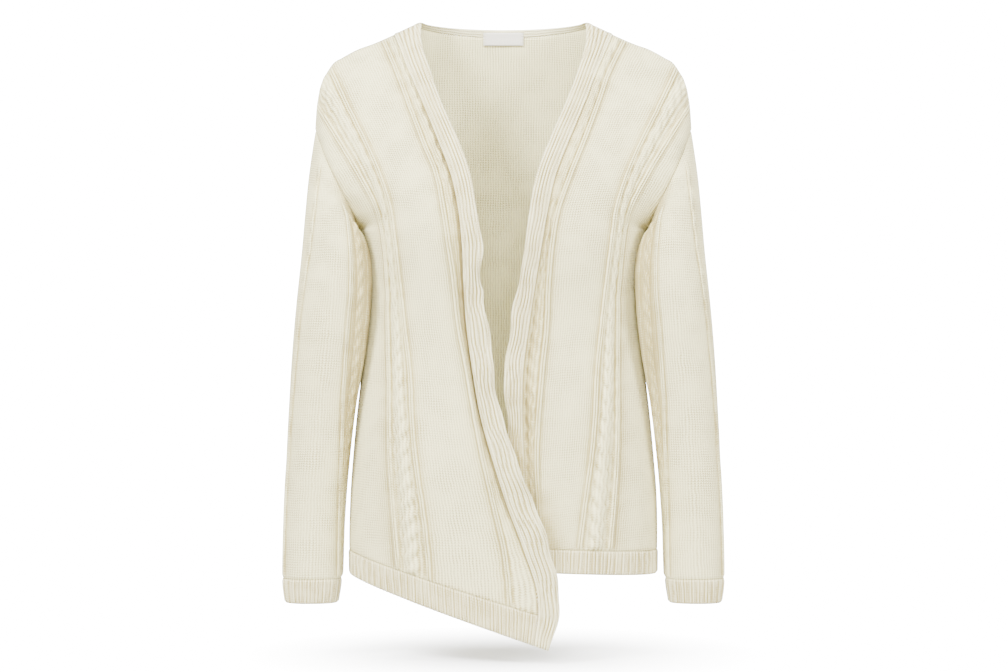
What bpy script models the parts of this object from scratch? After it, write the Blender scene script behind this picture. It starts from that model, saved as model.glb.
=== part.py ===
"""Knitted open-front cardigan, hollow as it hangs on a general figure.

Frame: metres, +Z up, the fronts face -Y and the wearer's left is +X. The origin is midway between the
two neck points, where the shoulders hold the garment up. Sizes below are in millimetres, and a drop is
a distance below the neck points. Each panel is a wall worked out from rows that run round the body,
with the cables and ribs raised in its outer points only.
"""

import bmesh
import bpy
import numpy as np

MM = 0.001

# Cloth
WALL = 2.2
SEAM_GAP = 0.3
ARMHOLE_PULL = 0.26
ROUNDNESS = 2.4
RIB_PITCH = 4.7
RIB_RISE = 1.3
CABLE_RISE = 3.2
CABLE_LOW = 1.2
CABLE_SHARE = 0.46

# Neck, shoulder and armhole
NECK_HALF_WIDTH = 95.0
NECK_DEPTH = 65.0
NECK_STRIP = 9.5
BACK_NECK_DROP = 11.5
ARMHOLE_STEPS = 12
ROWS_PER_STEP = 2

# Heights, as drops below the neck points
UNDERARM_ROW_DROP = 250.0
LEVELLING = 1.7
HEM_SEAM_SIDE = 600.0
HEM_SIDE = 627.0
HEM_SEAM_EDGE = {"right": 678.0, "left": 597.0}
HEM_EDGE = {"right": 711.0, "left": 623.0}
BODY_ROWS = 42
BACK_BODY_ROWS = 13
OVERLAP_LIFT = {"right": 5.0, "left": -6.0}
SIDE = {"right": -1.0, "left": 1.0}

# Sleeve and cuff
SLEEVE_ROWS = 22
SLEEVE_CLEARANCE = 1.5
EXTRA_STEPS = (2.5, 7.5, 8.5, 9.5)
SLEEVE_RIB_STEPS = (2.5, 7.5)
SLEEVE_CABLE_STEPS = (9.0, 21.0)
CUFF_RIBS_PER_STEP = 2

# Label inside the back neck
LABEL_SIZE = (48.0, 0.9, 15.0)
LABEL_TOP = 14.0

CREAM = (0.80, 0.775, 0.69, 1.0)
PALE_CREAM = (0.86, 0.845, 0.775, 1.0)
LABEL_WHITE = (0.84, 0.83, 0.80, 1.0)


def table(names, rows):
    """Return the columns of a table of rows under their names."""
    return dict(zip(names.split(), np.array(rows, dtype=float).T))


SHOULDER = table("x drop", [
    (95, 0), (104.5, 4), (125, 13.5), (150, 24.5), (169, 31.5), (186, 40.8), (196, 47), (203, 57),
    (209.3, 69), (213, 83), (215.6, 104), (216.8, 124),
])

ARMHOLE = table("u x y drop", [
    (0.000, 216.8, 0, 124), (0.167, 211.0, 27, 137), (0.333, 200.5, 47, 162), (0.500, 187.5, 57, 189),
    (0.667, 174.5, 54, 214), (0.833, 167.0, 33, 234), (1.000, 171.0, 0, 241),
])

# Depth from the shoulder line to the middle of each side, u down the armhole
SHOULDER_DEPTH = table("u front back", [
    (0.000, 0, 0), (0.014, 9, 11), (0.042, 17.5, 21), (0.083, 27, 32), (0.167, 41, 49), (0.333, 63, 72), (0.500, 80, 86),
    (0.667, 94.5, 94), (0.833, 103.5, 98.5), (1.000, 106.5, 100), (1.150, 106.5, 99),
])

BODY = table("drop half_width front back", [
    (241, 162.0, 106.5, 100.5), (258, 158.5, 106.4, 99.5), (272, 156.5, 105.5, 97.5), (292, 155.0, 103.5, 93.5),
    (320, 154.5, 100.5, 89.5), (344, 155.8, 98.8, 87.5), (375, 159.5, 98, 89),
    (412, 163.8, 99, 92), (453, 168.6, 101, 96), (492, 172.2, 103, 99), (534, 175.3, 105, 102),
    (584, 176.7, 107, 104), (630, 176.5, 108, 104), (715, 176.5, 109, 104),
])

# Outward flare of the cloth beside the underarm, over a short way from the seam
FLARE = table("drop out", [(226, 0), (234, 3.5), (241, 9.0), (248, 4.0), (258, 1.0), (268, 0)])
FLARE_REACH = 14.0

# Lines seen from the front, as distances out from the middle on the panel's own side: the rib, cable and
# rib towards the side, then for each front the rib beside the band, the band's seam and its free edge
LINES = table("drop outer_rib cable inner_rib rib_right seam_right edge_right rib_left seam_left edge_left", [
    (0, 275, 252, 232, 147, 133.0, 95.0, 147, 133.0, 95.0),
    (20, 262, 240, 215, 138, 124.0, 94.5, 139, 124.0, 95.0),
    (60, 236, 214, 196, 121, 108.5, 83.0, 120, 107.0, 84.5),
    (100, 211, 189, 177, 106, 91.0, 69.0, 106, 91.5, 69.5),
    (140, 186, 167, 157, 91, 75.0, 51.0, 91, 75.0, 52.0),
    (180, 162, 147, 139.5, 75, 60.0, 37.0, 75, 59.5, 37.0),
    (220, 142, 135, 127, 67, 51.5, 30.0, 61, 50.5, 29.5),
    (260, 134, 128.5, 121, 61, 47.5, 24.0, 54, 43.5, 24.0),
    (300, 131, 124, 116, 55.5, 46.0, 25.0, 50.5, 37.0, 17.5),
    (350, 130.7, 120.5, 110.5, 50, 42.5, 17.0, 48.5, 29.5, 7.5),
    (400, 129.5, 119, 105, 40.5, 35.5, 10.5, 43.5, 23.0, 1.5),
    (450, 128.5, 116, 102.5, 32, 26.5, 1.5, 39.5, 22.0, 3.0),
    (500, 127.5, 112, 98, 22, 12.5, -15.0, 37.5, 24.0, 4.0),
    (550, 124, 107.5, 91, 10.5, -3.5, -36.0, 39, 25.5, 2.0),
    (600, 119.7, 103.5, 85, -1, -22.5, -52.0, 41, 25.0, -1.0),
    (650, 116, 101.5, 81.5, -6.5, -37.5, -63.5, 42, 24.0, -3.0),
    (715, 112, 98, 78, -7, -33.0, -50.0, 43, 24.0, -3.0),
])

# Trough beside each band's seam, where the border cable folds in
TROUGH = table("drop right left", [
    (0, 0, 0), (60, 2.0, 1.5), (140, 5.0, 4.0), (260, 7.0, 5.0), (400, 6.5, 5.0), (460, 5.0, 4.0),
    (520, 3.2, 2.5), (600, 1.2, 1.0), (715, 0, 0),
])

# Sleeve seen from the front: t runs from the armhole to the cuff's seam, then past it to the cuff's end
SLEEVE = table("t outer_x outer_drop inner_x inner_drop depth forward", [
    (0.00, 216.8, 124, 171.0, 241, 57, 0), (0.05, 219.3, 148, 176.0, 245, 57, -6),
    (0.10, 221.8, 173, 165.0, 256, 56, -14), (0.18, 225.0, 212, 152.5, 282, 54, -24),
    (0.28, 229.5, 262, 149.5, 325, 51, -28), (0.40, 235.5, 322, 155.0, 375, 47, -28),
    (0.55, 243.0, 405, 168.0, 440, 42, -24), (0.70, 247.6, 485, 177.0, 505, 37, -22),
    (0.85, 251.0, 560, 182.5, 570, 33, -20), (1.00, 251.6, 637, 185.0, 637, 30, -20),
    (1.12, 248.8, 665, 189.0, 665, 28, -20),
])


def curve(at, knots, values):
    """Read a smooth curve through the knots, flat beyond both ends."""
    slopes = np.gradient(values, knots)
    at = np.clip(at, knots[0], knots[-1])
    i = np.clip(np.searchsorted(knots, at, side="right") - 1, 0, len(knots) - 2)
    span = knots[i + 1] - knots[i]
    t = (at - knots[i]) / span
    rise = values[i + 1] - values[i]
    ease = t * t * (3 - 2 * t)
    bend = t * (1 - t) * ((1 - t) * slopes[i] - t * slopes[i + 1]) * span
    return values[i] + ease * rise + bend


def unit(vectors):
    """Scale vectors to length one."""
    return vectors / np.maximum(np.linalg.norm(vectors, axis=-1, keepdims=True), 1e-9)


def power(values, exponent):
    """Raise to a power and keep the sign."""
    return np.sign(values) * np.abs(values) ** exponent


# Rows round the body. w is 0 to 1 down the armhole, 1 to 2 down to the hem's seam, 2 to 3 down the hem

def armhole_points(steps):
    """Points of the front armhole as a fraction of its steps, straight between the shared steps."""
    stations = np.arange(ARMHOLE_STEPS + 1) / ARMHOLE_STEPS
    u = np.asarray(steps, dtype=float) / ARMHOLE_STEPS
    return [np.interp(u, stations, curve(stations, ARMHOLE["u"], ARMHOLE[name]))
            for name in ("x", "y", "drop")]


def flare(drop):
    """How far the cloth beside the underarm stands out past the body's plain width."""
    return float(np.interp(drop, FLARE["drop"], FLARE["out"]))


def outer_edge(w):
    """Where a row starts: on the armhole, or on the side seam below the underarm."""
    if w <= 1:
        return [float(value) for value in armhole_points(w * ARMHOLE_STEPS)]
    underarm = ARMHOLE["drop"][-1]
    drop = np.interp(w, [1, 2, 3], [underarm, HEM_SEAM_SIDE, HEM_SIDE])
    return [float(curve(drop, BODY["drop"], BODY["half_width"])) + flare(drop), 0.0, float(drop)]


def middle_depth(w, drop, face):
    """How far a row stands out in front of the shoulder line, or behind it, at its middle."""
    if w <= 1:
        return float(curve(w, SHOULDER_DEPTH["u"], SHOULDER_DEPTH[face]))
    return float(curve(drop, BODY["drop"], BODY[face]))


def row_fan(depth, x_start, y_start, x_end, out):
    """Return x and y along a row, an arc of a squarish oval that starts on the armhole or side seam."""
    x_start = x_start - out
    lean = min(y_start / depth, 0.98) if depth > 0 else 0.0
    start = np.arcsin(lean ** (ROUNDNESS / 2))
    half_width = x_start / np.cos(start) ** (2 / ROUNDNESS)
    turn = np.arccos(np.clip(power(x_end / half_width, ROUNDNESS / 2), -1, 1))
    angle = np.linspace(start, turn, 400)
    x = half_width * power(np.cos(angle), 2 / ROUNDNESS)
    y = depth * power(np.sin(angle), 2 / ROUNDNESS)
    way = np.hypot(x - x[0], y - y[0])
    return x + out * np.exp(-(way / FLARE_REACH) ** 2), y


def levelled(w):
    """How far a row has turned from the shoulder line to a level one, all the way by the underarm."""
    return 1 - (1 - min(w, 1.0)) ** LEVELLING


def shoulder_share(q, x_end):
    """Share of the rise from armhole to neck along the shoulder line, q across it."""
    x = SHOULDER["x"][-1] + q * (x_end - SHOULDER["x"][-1])
    drops = np.interp(x, SHOULDER["x"], SHOULDER["drop"])
    low = SHOULDER["drop"][-1]
    high = np.interp(x_end, SHOULDER["x"], SHOULDER["drop"])
    return (low - drops) / (low - high)


def front_row(side, w):
    """Dense points of one row of a front, from the side to the band's free edge, x outward."""
    x_start, y_start, drop_start = outer_edge(w)
    edge_drops = [0, UNDERARM_ROW_DROP, HEM_SEAM_EDGE[side], HEM_EDGE[side]]
    drop_end = float(np.interp(w, [0, 1, 2, 3], edge_drops))
    x_end = float(curve(drop_end, LINES["drop"], LINES["edge_" + side]))
    depth = middle_depth(w, drop_end, "front")
    if w > 0.02:
        lift = OVERLAP_LIFT[side] * min(w, 1.0)
        x, y = row_fan(depth + lift, x_start, y_start, x_end, flare(drop_start))
    else:
        x, y = row_fan(12.0, x_start, 6.5, x_end, 0.0)
        y = y * 0
    q = (x_start - x) / (x_start - x_end)
    level = levelled(w)
    share = (1 - level) * shoulder_share(q, NECK_HALF_WIDTH) + level * q
    drop = drop_start + (drop_end - drop_start) * share
    return np.stack([x, -y, drop], axis=1)


def along(points):
    """Length along a line of points."""
    steps = np.linalg.norm(np.diff(points, axis=0), axis=1)
    return np.concatenate([[0.0], np.cumsum(steps)])


def crossing(points, length, line):
    """Length along a row where it crosses a line of the table."""
    ahead = points[:, 0] - np.interp(points[:, 2], LINES["drop"], LINES[line])
    i = int(np.argmax(ahead < 0))
    if ahead[i] >= 0 or i == 0:
        return float(length[-1]) if ahead[i] >= 0 else 0.0
    part = ahead[i - 1] / (ahead[i - 1] - ahead[i])
    return float(length[i - 1] + part * (length[i] - length[i - 1]))


def at_lengths(points, length, stations):
    """Points of a row at the given lengths along it."""
    return np.stack([np.interp(stations, length, points[:, k]) for k in range(3)], axis=1)


BAND_STEPS = np.array([0, 0.20, 0.285, 0.37, 0.455, 0.54, 0.625, 0.71, 0.795, 0.88, 1.0])
BAND_PEAKS = (2, 4, 6, 8)
SEAM_COLUMN = 11


def front_grid(side, rows):
    """Grid of a whole front with its band: columns lie on its ribs, cables, seam and edge."""
    grid = []
    for w in rows:
        points = front_row(side, w)
        length = along(points)
        lines = ["outer_rib", "cable", "inner_rib", "rib_" + side, "seam_" + side]
        rib, cable, inner, border, seam = [crossing(points, length, line) for line in lines]
        half_cable = CABLE_SHARE / 2 * (inner - rib)
        stations = [
            0, rib / 2, rib, cable - half_cable, cable - half_cable / 3, cable + half_cable / 3,
            cable + half_cable, inner, (inner + border) / 2, border, (border + seam) / 2,
        ]
        stations = np.concatenate([stations, seam + BAND_STEPS * (length[-1] - seam)])
        grid.append(at_lengths(points, length, stations))
    grid = np.array(grid)
    grid[:, :, 0] *= SIDE[side]
    grid[:, :, 2] *= -1
    return grid


def grid_normals(grid, closed=False):
    """Outward normals of a grid of points."""
    if closed:
        across = np.roll(grid, -1, axis=1) - np.roll(grid, 1, axis=1)
    else:
        across = np.gradient(grid, axis=1)
    down = np.gradient(grid, axis=0)
    normals = unit(np.cross(across, down))
    return normals


def facing_out(normals, grid):
    """Turn normals away from the body's upright middle line."""
    middle = grid.reshape(-1, 3).mean(axis=0)
    outward = np.array([middle[0], middle[1], 0.0])
    if np.sum(normals.reshape(-1, 3) @ outward) < 0:
        return -normals
    return normals


def flatten_y(normals):
    """Lay normals on a seam that the front and back share, where y is zero."""
    flat = normals * np.array([1.0, 0.0, 1.0])
    return unit(flat)


def pulled_in(grid, edge, amount):
    """Move one edge of a grid into its own piece by the amount."""
    grid = grid.copy()
    picks = {"first_row": (grid[0], grid[1]), "last_row": (grid[-1], grid[-2]),
             "first_column": (grid[:, 0], grid[:, 1]), "last_column": (grid[:, -1], grid[:, -2])}
    here, inside = picks[edge]
    here += amount * square_to(here, inside - here)
    return grid


def square_to(line, ways):
    """Unit directions square to a line of points, the way the given ones lean."""
    tangent = unit(np.gradient(line, axis=0))
    return unit(ways - np.sum(ways * tangent, axis=1, keepdims=True) * tangent)


def clear_of_sleeve(panel, count, column, inside):
    """Move a panel's armhole edge into the panel, and its underarm corner down the side seam."""
    panel = panel.copy()
    edge = panel[:count, column].copy()
    panel[:count, column] += ARMHOLE_PULL * square_to(edge, panel[:count, inside] - edge)
    panel[count - 1, column] = edge[-1] + 2 * ARMHOLE_PULL * unit(panel[count, column] - edge[-1])
    return panel


def wall(name, outer, inner, rows_used, columns_used, closed=False):
    """Make a closed wall. The inner layer uses only some of the outer layer's rows and columns."""
    mesh = bpy.data.meshes.new(name)
    bm = bmesh.new()
    inner = inner[np.ix_(rows_used, columns_used)]
    outer_points = [[bm.verts.new(point * MM) for point in row] for row in outer]
    inner_points = [[bm.verts.new(point * MM) for point in row] for row in inner]
    for layer in (outer_points, inner_points):
        for upper, lower in zip(layer, layer[1:]):
            count = len(upper)
            for j in range(count if closed else count - 1):
                k = (j + 1) % count
                bm.faces.new((upper[j], upper[k], lower[k], lower[j]))
    for row, edge in ((0, 0), (-1, -1)):
        rim(bm, outer_points[row], inner_points[edge], list(columns_used), closed)
    if not closed:
        for column in (0, -1):
            long_side = [row[column] for row in outer_points]
            short_side = [row[column] for row in inner_points]
            rim(bm, long_side, short_side, list(rows_used), False)
    bmesh.ops.triangulate(bm, faces=bm.faces)
    bmesh.ops.recalc_face_normals(bm, faces=bm.faces)
    bm.to_mesh(mesh)
    bm.free()
    obj = bpy.data.objects.new(name, mesh)
    bpy.data.collections[COLLECTION].objects.link(obj)
    mesh.shade_smooth()
    mesh.set_sharp_from_angle(angle=np.radians(40))
    return obj


def rim(bm, outer_line, inner_line, used, closed):
    """Join an outer line to its coarser inner line, one face to each inner step."""
    spans = list(zip(range(len(used)), range(1, len(used))))
    if closed:
        spans.append((len(used) - 1, 0))
    for a, b in spans:
        end = used[b] if b else len(outer_line)
        run = [outer_line[k % len(outer_line)] for k in range(used[a], end + 1)]
        bm.faces.new(run + [inner_line[b], inner_line[a]])


def material(name, color, roughness):
    """A plain knitted or woven material."""
    mat = bpy.data.materials.new(name)
    mat.use_nodes = True
    shader = mat.node_tree.nodes["Principled BSDF"]
    shader.inputs["Base Color"].default_value = color
    shader.inputs["Roughness"].default_value = roughness
    shader.inputs["Metallic"].default_value = 0.0
    mat.diffuse_color = color
    return mat


def dress(obj, mat):
    """Give an object its material."""
    obj.data.materials.append(mat)
    return obj


def cable_rises(rows, phase):
    """Rises of a twisted cable's two middle columns, high on one side and then the other."""
    even = (np.arange(rows) + phase) % 2 == 0
    return np.where(even, CABLE_RISE, CABLE_LOW), np.where(even, CABLE_LOW, CABLE_RISE)


def ribbed(grid, normals, ribs):
    """Split a hem's columns into ribs: return finer points, normals and where the old columns lie."""
    points, directions, used, peaks = [], [], [0], []
    for j in range(grid.shape[1] - 1):
        width = np.linalg.norm(grid[:, j + 1] - grid[:, j], axis=1).mean()
        count = ribs if ribs else max(1, int(round(width / RIB_PITCH)))
        for k in range(2 * count):
            share = k / (2 * count)
            points.append(grid[:, j] * (1 - share) + grid[:, j + 1] * share)
            directions.append(unit(normals[:, j] * (1 - share) + normals[:, j + 1] * share))
            peaks.append(k % 2)
        used.append(len(points))
    points.append(grid[:, -1])
    directions.append(normals[:, -1])
    peaks.append(0)
    return np.stack(points, axis=1), np.stack(directions, axis=1), used, np.array(peaks)


# Back

def back_neck(x):
    """Depth and drop of the back panel's neck edge, below the neck strip."""
    reach = NECK_HALF_WIDTH + NECK_STRIP
    inside = np.clip(1 - (x / reach) ** 2, 0, 1)
    depth = (NECK_DEPTH + 2) * np.sqrt(inside)
    start = np.interp(reach, SHOULDER["x"], SHOULDER["drop"])
    drop = start + (BACK_NECK_DROP - start) * inside
    return depth, drop


def back_row(w):
    """Dense points of half a row of the back, from the side to the middle, x outward."""
    x_start, y_start, drop_start = outer_edge(w)
    full = SHOULDER_DEPTH["back"][-1]
    drop_end = float(np.interp(w, [0, 1, 2, 3], [BACK_NECK_DROP, 246, HEM_SEAM_SIDE, HEM_SIDE]))
    depth = middle_depth(w, drop_end, "back")
    if w > 0.02:
        x, y = row_fan(depth, x_start, y_start, 0.0, flare(drop_start))
    else:
        x, y = row_fan(12.0, x_start, 6.5, 0.0, 0.0)
        y = y * 0
    level = levelled(w)
    neck_depth, neck_drop = back_neck(x)
    rest = max(0.0, 1 - (depth / full) ** 2) if w < 1 else 0.0
    y = np.sqrt(y ** 2 + rest * neck_depth ** 2)
    q = (x_start - x) / x_start
    reach = NECK_HALF_WIDTH + NECK_STRIP
    top_x = SHOULDER["x"][-1] * (1 - q)
    top = np.where(top_x > reach, np.interp(top_x, SHOULDER["x"], SHOULDER["drop"]), back_neck(top_x)[1])
    low = SHOULDER["drop"][-1]
    share = (1 - level) * (low - top) / (low - BACK_NECK_DROP) + level * q
    drop = drop_start + (drop_end - drop_start) * share
    return np.stack([x, y, drop], axis=1)


BACK_OUTER_COLUMNS = 4
BACK_NECK_COLUMNS = 4


def back_grid(rows):
    """Grid of the whole back, from the wearer's left side to the right."""
    grid = []
    reach = NECK_HALF_WIDTH + NECK_STRIP
    for w in rows:
        points = back_row(w)
        length = along(points)
        corner_x = reach * points[0, 0] / SHOULDER["x"][-1]
        corner = float(np.interp(-corner_x, -points[:, 0], length))
        if w <= 0.02:
            corner = float(np.interp(-reach, -points[:, 0], length))
        stations = np.concatenate([
            np.linspace(0, corner, BACK_OUTER_COLUMNS + 1)[:-1],
            np.linspace(corner, length[-1], BACK_NECK_COLUMNS + 1),
        ])
        half = at_lengths(points, length, stations)
        mirrored = half[-2::-1] * np.array([-1.0, 1.0, 1.0])
        grid.append(np.concatenate([half, mirrored]))
    grid = np.array(grid)
    grid[:, :, 2] *= -1
    return grid


# Sleeves

def sleeve_steps():
    """Steps round the sleeve, with extra ones where its cables and ribs are."""
    return np.sort(np.concatenate([np.arange(2 * ARMHOLE_STEPS), EXTRA_STEPS]))


def armhole_loop(steps):
    """Points round the armhole, down the front and up the back, x outward."""
    steps = np.asarray(steps, dtype=float)
    behind = steps > ARMHOLE_STEPS
    down = np.where(behind, 2 * ARMHOLE_STEPS - steps, steps)
    x, y, drop = armhole_points(down)
    return np.stack([x, np.where(behind, y, -y), drop], axis=1)


def sleeve_ring(t, steps):
    """Points of one ring of the sleeve before it meets the armhole or the body."""
    values = {name: float(curve(t, SLEEVE["t"], SLEEVE[name])) for name in SLEEVE if name != "t"}
    angle = np.asarray(steps) / ARMHOLE_STEPS * np.pi
    out = (1 + power(np.cos(angle), 0.9)) / 2
    x = values["inner_x"] + (values["outer_x"] - values["inner_x"]) * out
    drop = values["inner_drop"] + (values["outer_drop"] - values["inner_drop"]) * out
    y = values["forward"] - values["depth"] * power(np.sin(angle), 0.9)
    return np.stack([x, y, drop], axis=1)


def body_reach(y, drop):
    """Half width of the body at a depth and drop."""
    width = curve(drop, BODY["drop"], BODY["half_width"])
    depth = np.where(y < 0, curve(drop, BODY["drop"], BODY["front"]) + 5,
                     curve(drop, BODY["drop"], BODY["back"]))
    inside = np.clip(1 - np.abs(y / depth) ** ROUNDNESS, 0, 1)
    return width * inside ** (1 / ROUNDNESS)


def sleeve_grid(side, stations):
    """Grid of a sleeve: a ring to each station, from the armhole to the cuff."""
    steps = sleeve_steps()
    misfit = armhole_loop(steps) - sleeve_ring(0.0, steps)
    rings = []
    for t in stations:
        ring = sleeve_ring(t, steps) + misfit * max(0.0, 1 - t / 0.22) ** 2
        below = ring[:, 2] > ARMHOLE["drop"][-1] + 6
        least = body_reach(ring[:, 1], ring[:, 2]) + SLEEVE_CLEARANCE
        ring[:, 0] = np.where(below, np.maximum(ring[:, 0], least), ring[:, 0])
        rings.append(ring)
    grid = np.array(rings)
    grid[:, :, 0] *= SIDE[side]
    grid[:, :, 2] *= -1
    return grid


def armhole_normals(edge, panel_next, sleeve_next):
    """Normals that a panel and a sleeve share along their seam."""
    across = unit(sleeve_next - panel_next)
    tangent = np.gradient(edge, axis=0)
    return unit(np.cross(tangent, across))


# Panels

def armhole_rows():
    """Row positions down the armhole."""
    return np.linspace(0, 1, ARMHOLE_STEPS * ROWS_PER_STEP + 1)


def sleeve_stations():
    """Ring positions down the sleeve, closer together at the top."""
    share = np.linspace(0, 1, SLEEVE_ROWS + 1)
    return 0.55 * share ** 1.6 + 0.45 * share


def shared_edge(side, face, sleeve, panel, rows):
    """Normals for the armhole edge of a panel, one to each of its armhole rows."""
    steps = sleeve_steps()
    count = len(rows)
    across_steps = np.asarray(rows) * ARMHOLE_STEPS
    if face == "back":
        across_steps = 2 * ARMHOLE_STEPS - across_steps
    wrapped = np.concatenate([steps, [2 * ARMHOLE_STEPS]])
    second = np.concatenate([sleeve[1], sleeve[1][:1]])
    order = np.stack([np.interp(across_steps, wrapped, second[:, k]) for k in range(3)], axis=1)
    edge = panel[:count, 0]
    normals = armhole_normals(edge, panel[:count, 1], order)
    outward = np.array([0.0, -1.0 if face == "front" else 1.0, 0.0])
    if normals[count // 2] @ outward < 0:
        normals = -normals
    return normals


def front_normals(side, grid, sleeve, upper):
    """Normals of a whole front, shared with its neighbours along the shoulder, armhole and side seams."""
    count = len(upper)
    normals = facing_out(grid_normals(grid), grid)
    normals[0] = flatten_y(normals[0])
    normals[count:, 0] = flatten_y(normals[count:, 0])
    normals[:count, 0] = shared_edge(side, "front", sleeve, grid, upper)
    for row in (0, count - 1):
        normals[row, 0] = flatten_y(normals[row, 0])
    return normals


def make_front(side, sleeve, knit, trim):
    """Make a front panel, its band and its hem."""
    upper = armhole_rows()
    body = np.linspace(1, 2, BODY_ROWS + 1)[1:]
    rows = np.concatenate([upper, body, [2.5, 3.0]])
    grid = front_grid(side, rows)
    seam_row = len(rows) - 3
    normals = front_normals(side, grid, sleeve, upper)
    depth = curve(-grid[:, SEAM_COLUMN, 2], TROUGH["drop"], TROUGH[side])
    shift = np.zeros(grid.shape[:2])
    shift[:, SEAM_COLUMN - 1] = -depth
    shift[:, SEAM_COLUMN] = -depth * 0.45
    grid = grid + shift[:, :, None] * normals
    normals = front_normals(side, grid, sleeve, upper)
    grid[:, 0, 1] = np.where(np.abs(grid[:, 0, 1]) < SEAM_GAP / 2, -SEAM_GAP / 2, grid[:, 0, 1])
    grid[0, :, 1] = -SEAM_GAP / 2

    for k in range(1, seam_row, ROWS_PER_STEP):
        grid[k, SEAM_COLUMN] = (grid[k - 1, SEAM_COLUMN] + grid[k + 1, SEAM_COLUMN]) / 2
        normals[k, SEAM_COLUMN] = unit(normals[k - 1, SEAM_COLUMN] + normals[k + 1, SEAM_COLUMN])

    relief = np.zeros(grid.shape[:2])
    relief[:, 2] = relief[:, 7] = relief[:, 9] = RIB_RISE
    relief[:, 4], relief[:, 5] = cable_rises(len(rows), 0)
    relief[:, 10] = np.where(np.arange(len(rows)) % 2 == 0, CABLE_RISE, CABLE_LOW)
    for peak in BAND_PEAKS:
        relief[:, SEAM_COLUMN + peak] = RIB_RISE
    relief[0] = 0

    panel = grid[:seam_row + 1, :SEAM_COLUMN + 1]
    panel = pulled_in(panel, "last_row", SEAM_GAP / 2)
    panel = pulled_in(panel, "last_column", SEAM_GAP / 2)
    panel = clear_of_sleeve(panel, len(upper), 0, 1)
    way = normals[:seam_row + 1, :SEAM_COLUMN + 1]
    lift = relief[:seam_row + 1, :SEAM_COLUMN + 1, None]
    used = list(range(0, seam_row + 1, ROWS_PER_STEP))
    dress(wall("front_" + side, panel + lift * way, panel - WALL * way, used,
               [0, 1, 2, 5, 7, 8, 9, 10, 11]), knit)

    band = grid[:, SEAM_COLUMN:]
    band = pulled_in(band, "first_column", SEAM_GAP / 2)
    way = normals[:, SEAM_COLUMN:]
    lift = relief[:, SEAM_COLUMN:, None]
    every = [0] + list(range(ROWS_PER_STEP, seam_row + 1, ROWS_PER_STEP)) + [seam_row + 1, seam_row + 2]
    band, way, lift = band[every], way[every], lift[every]
    dress(wall("band_" + side, band + lift * way, band - WALL * way,
               list(range(len(every))), [0, 5, 10]), trim)

    hem = grid[[seam_row, seam_row + 2], :SEAM_COLUMN + 1]
    hem = pulled_in(hem, "first_row", SEAM_GAP / 2)
    hem = pulled_in(hem, "last_column", SEAM_GAP / 2)
    way = normals[[seam_row, seam_row + 2], :SEAM_COLUMN + 1]
    points, way, used, peaks = ribbed(hem, way, 0)
    dress(wall("hem_front_" + side, points + RIB_RISE * peaks[None, :, None] * way,
               points - WALL * way, [0, 1], used), trim)


def make_back(sleeves, knit, trim, paper):
    """Make the back panel, the neck strip, the back hem and the label."""
    upper = np.linspace(0, 1, ARMHOLE_STEPS + 1)
    rows = np.concatenate([upper, np.linspace(1, 2, BACK_BODY_ROWS + 1)[1:], [3.0]])
    grid = back_grid(rows)
    count = len(upper)
    normals = facing_out(grid_normals(grid), grid)
    corner = BACK_OUTER_COLUMNS
    normals[0, :corner + 1] = flatten_y(normals[0, :corner + 1])
    normals[0, -corner - 1:] = flatten_y(normals[0, -corner - 1:])
    for side, column, order in (("left", 0, 1), ("right", -1, -1)):
        normals[count:, column] = flatten_y(normals[count:, column])
        panel = grid[:, ::order]
        normals[:count, column] = shared_edge(side, "back", sleeves[side], panel, upper)
        for row in (0, count - 1):
            normals[row, column] = flatten_y(normals[row, column])
    on_seam = np.abs(grid[:, :, 1]) < SEAM_GAP / 2
    grid[:, :, 1] = np.where(on_seam, SEAM_GAP / 2, grid[:, :, 1])

    neck_grid, neck_way = grid[0, corner:-corner].copy(), normals[0, corner:-corner].copy()
    seam_row = len(rows) - 2
    panel = grid[:seam_row + 1]
    panel = pulled_in(panel, "last_row", SEAM_GAP / 2)
    panel = clear_of_sleeve(panel, count, 0, 1)
    panel = clear_of_sleeve(panel, count, -1, -2)
    panel[0, corner:-corner] += SEAM_GAP / 2 * unit(panel[1, corner:-corner] - panel[0, corner:-corner])
    way = normals[:seam_row + 1]
    dress(wall("back", panel, panel - WALL * way, list(range(seam_row + 1)),
               list(range(grid.shape[1]))), knit)

    hem = pulled_in(grid[seam_row:], "first_row", SEAM_GAP / 2)
    points, way, used, peaks = ribbed(hem, normals[seam_row:], 0)
    dress(wall("hem_back", points + RIB_RISE * peaks[None, :, None] * way, points - WALL * way,
               [0, 1], used), trim)

    share = neck_grid[:, 0] / (NECK_HALF_WIDTH + NECK_STRIP)
    depth = NECK_DEPTH * np.sqrt(np.clip(1 - share ** 2, 0, 1))
    top = np.stack([share * NECK_HALF_WIDTH, np.maximum(depth, SEAM_GAP / 2), -2 * (1 - share ** 2)], axis=1)
    strip = np.stack([top, neck_grid])
    strip[1] += SEAM_GAP / 2 * unit(strip[0] - strip[1])
    way = np.stack([neck_way, neck_way])
    dress(wall("neck_band", strip, strip - WALL * way, [0, 1], list(range(len(share)))), trim)
    make_label(grid, normals, paper)


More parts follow.
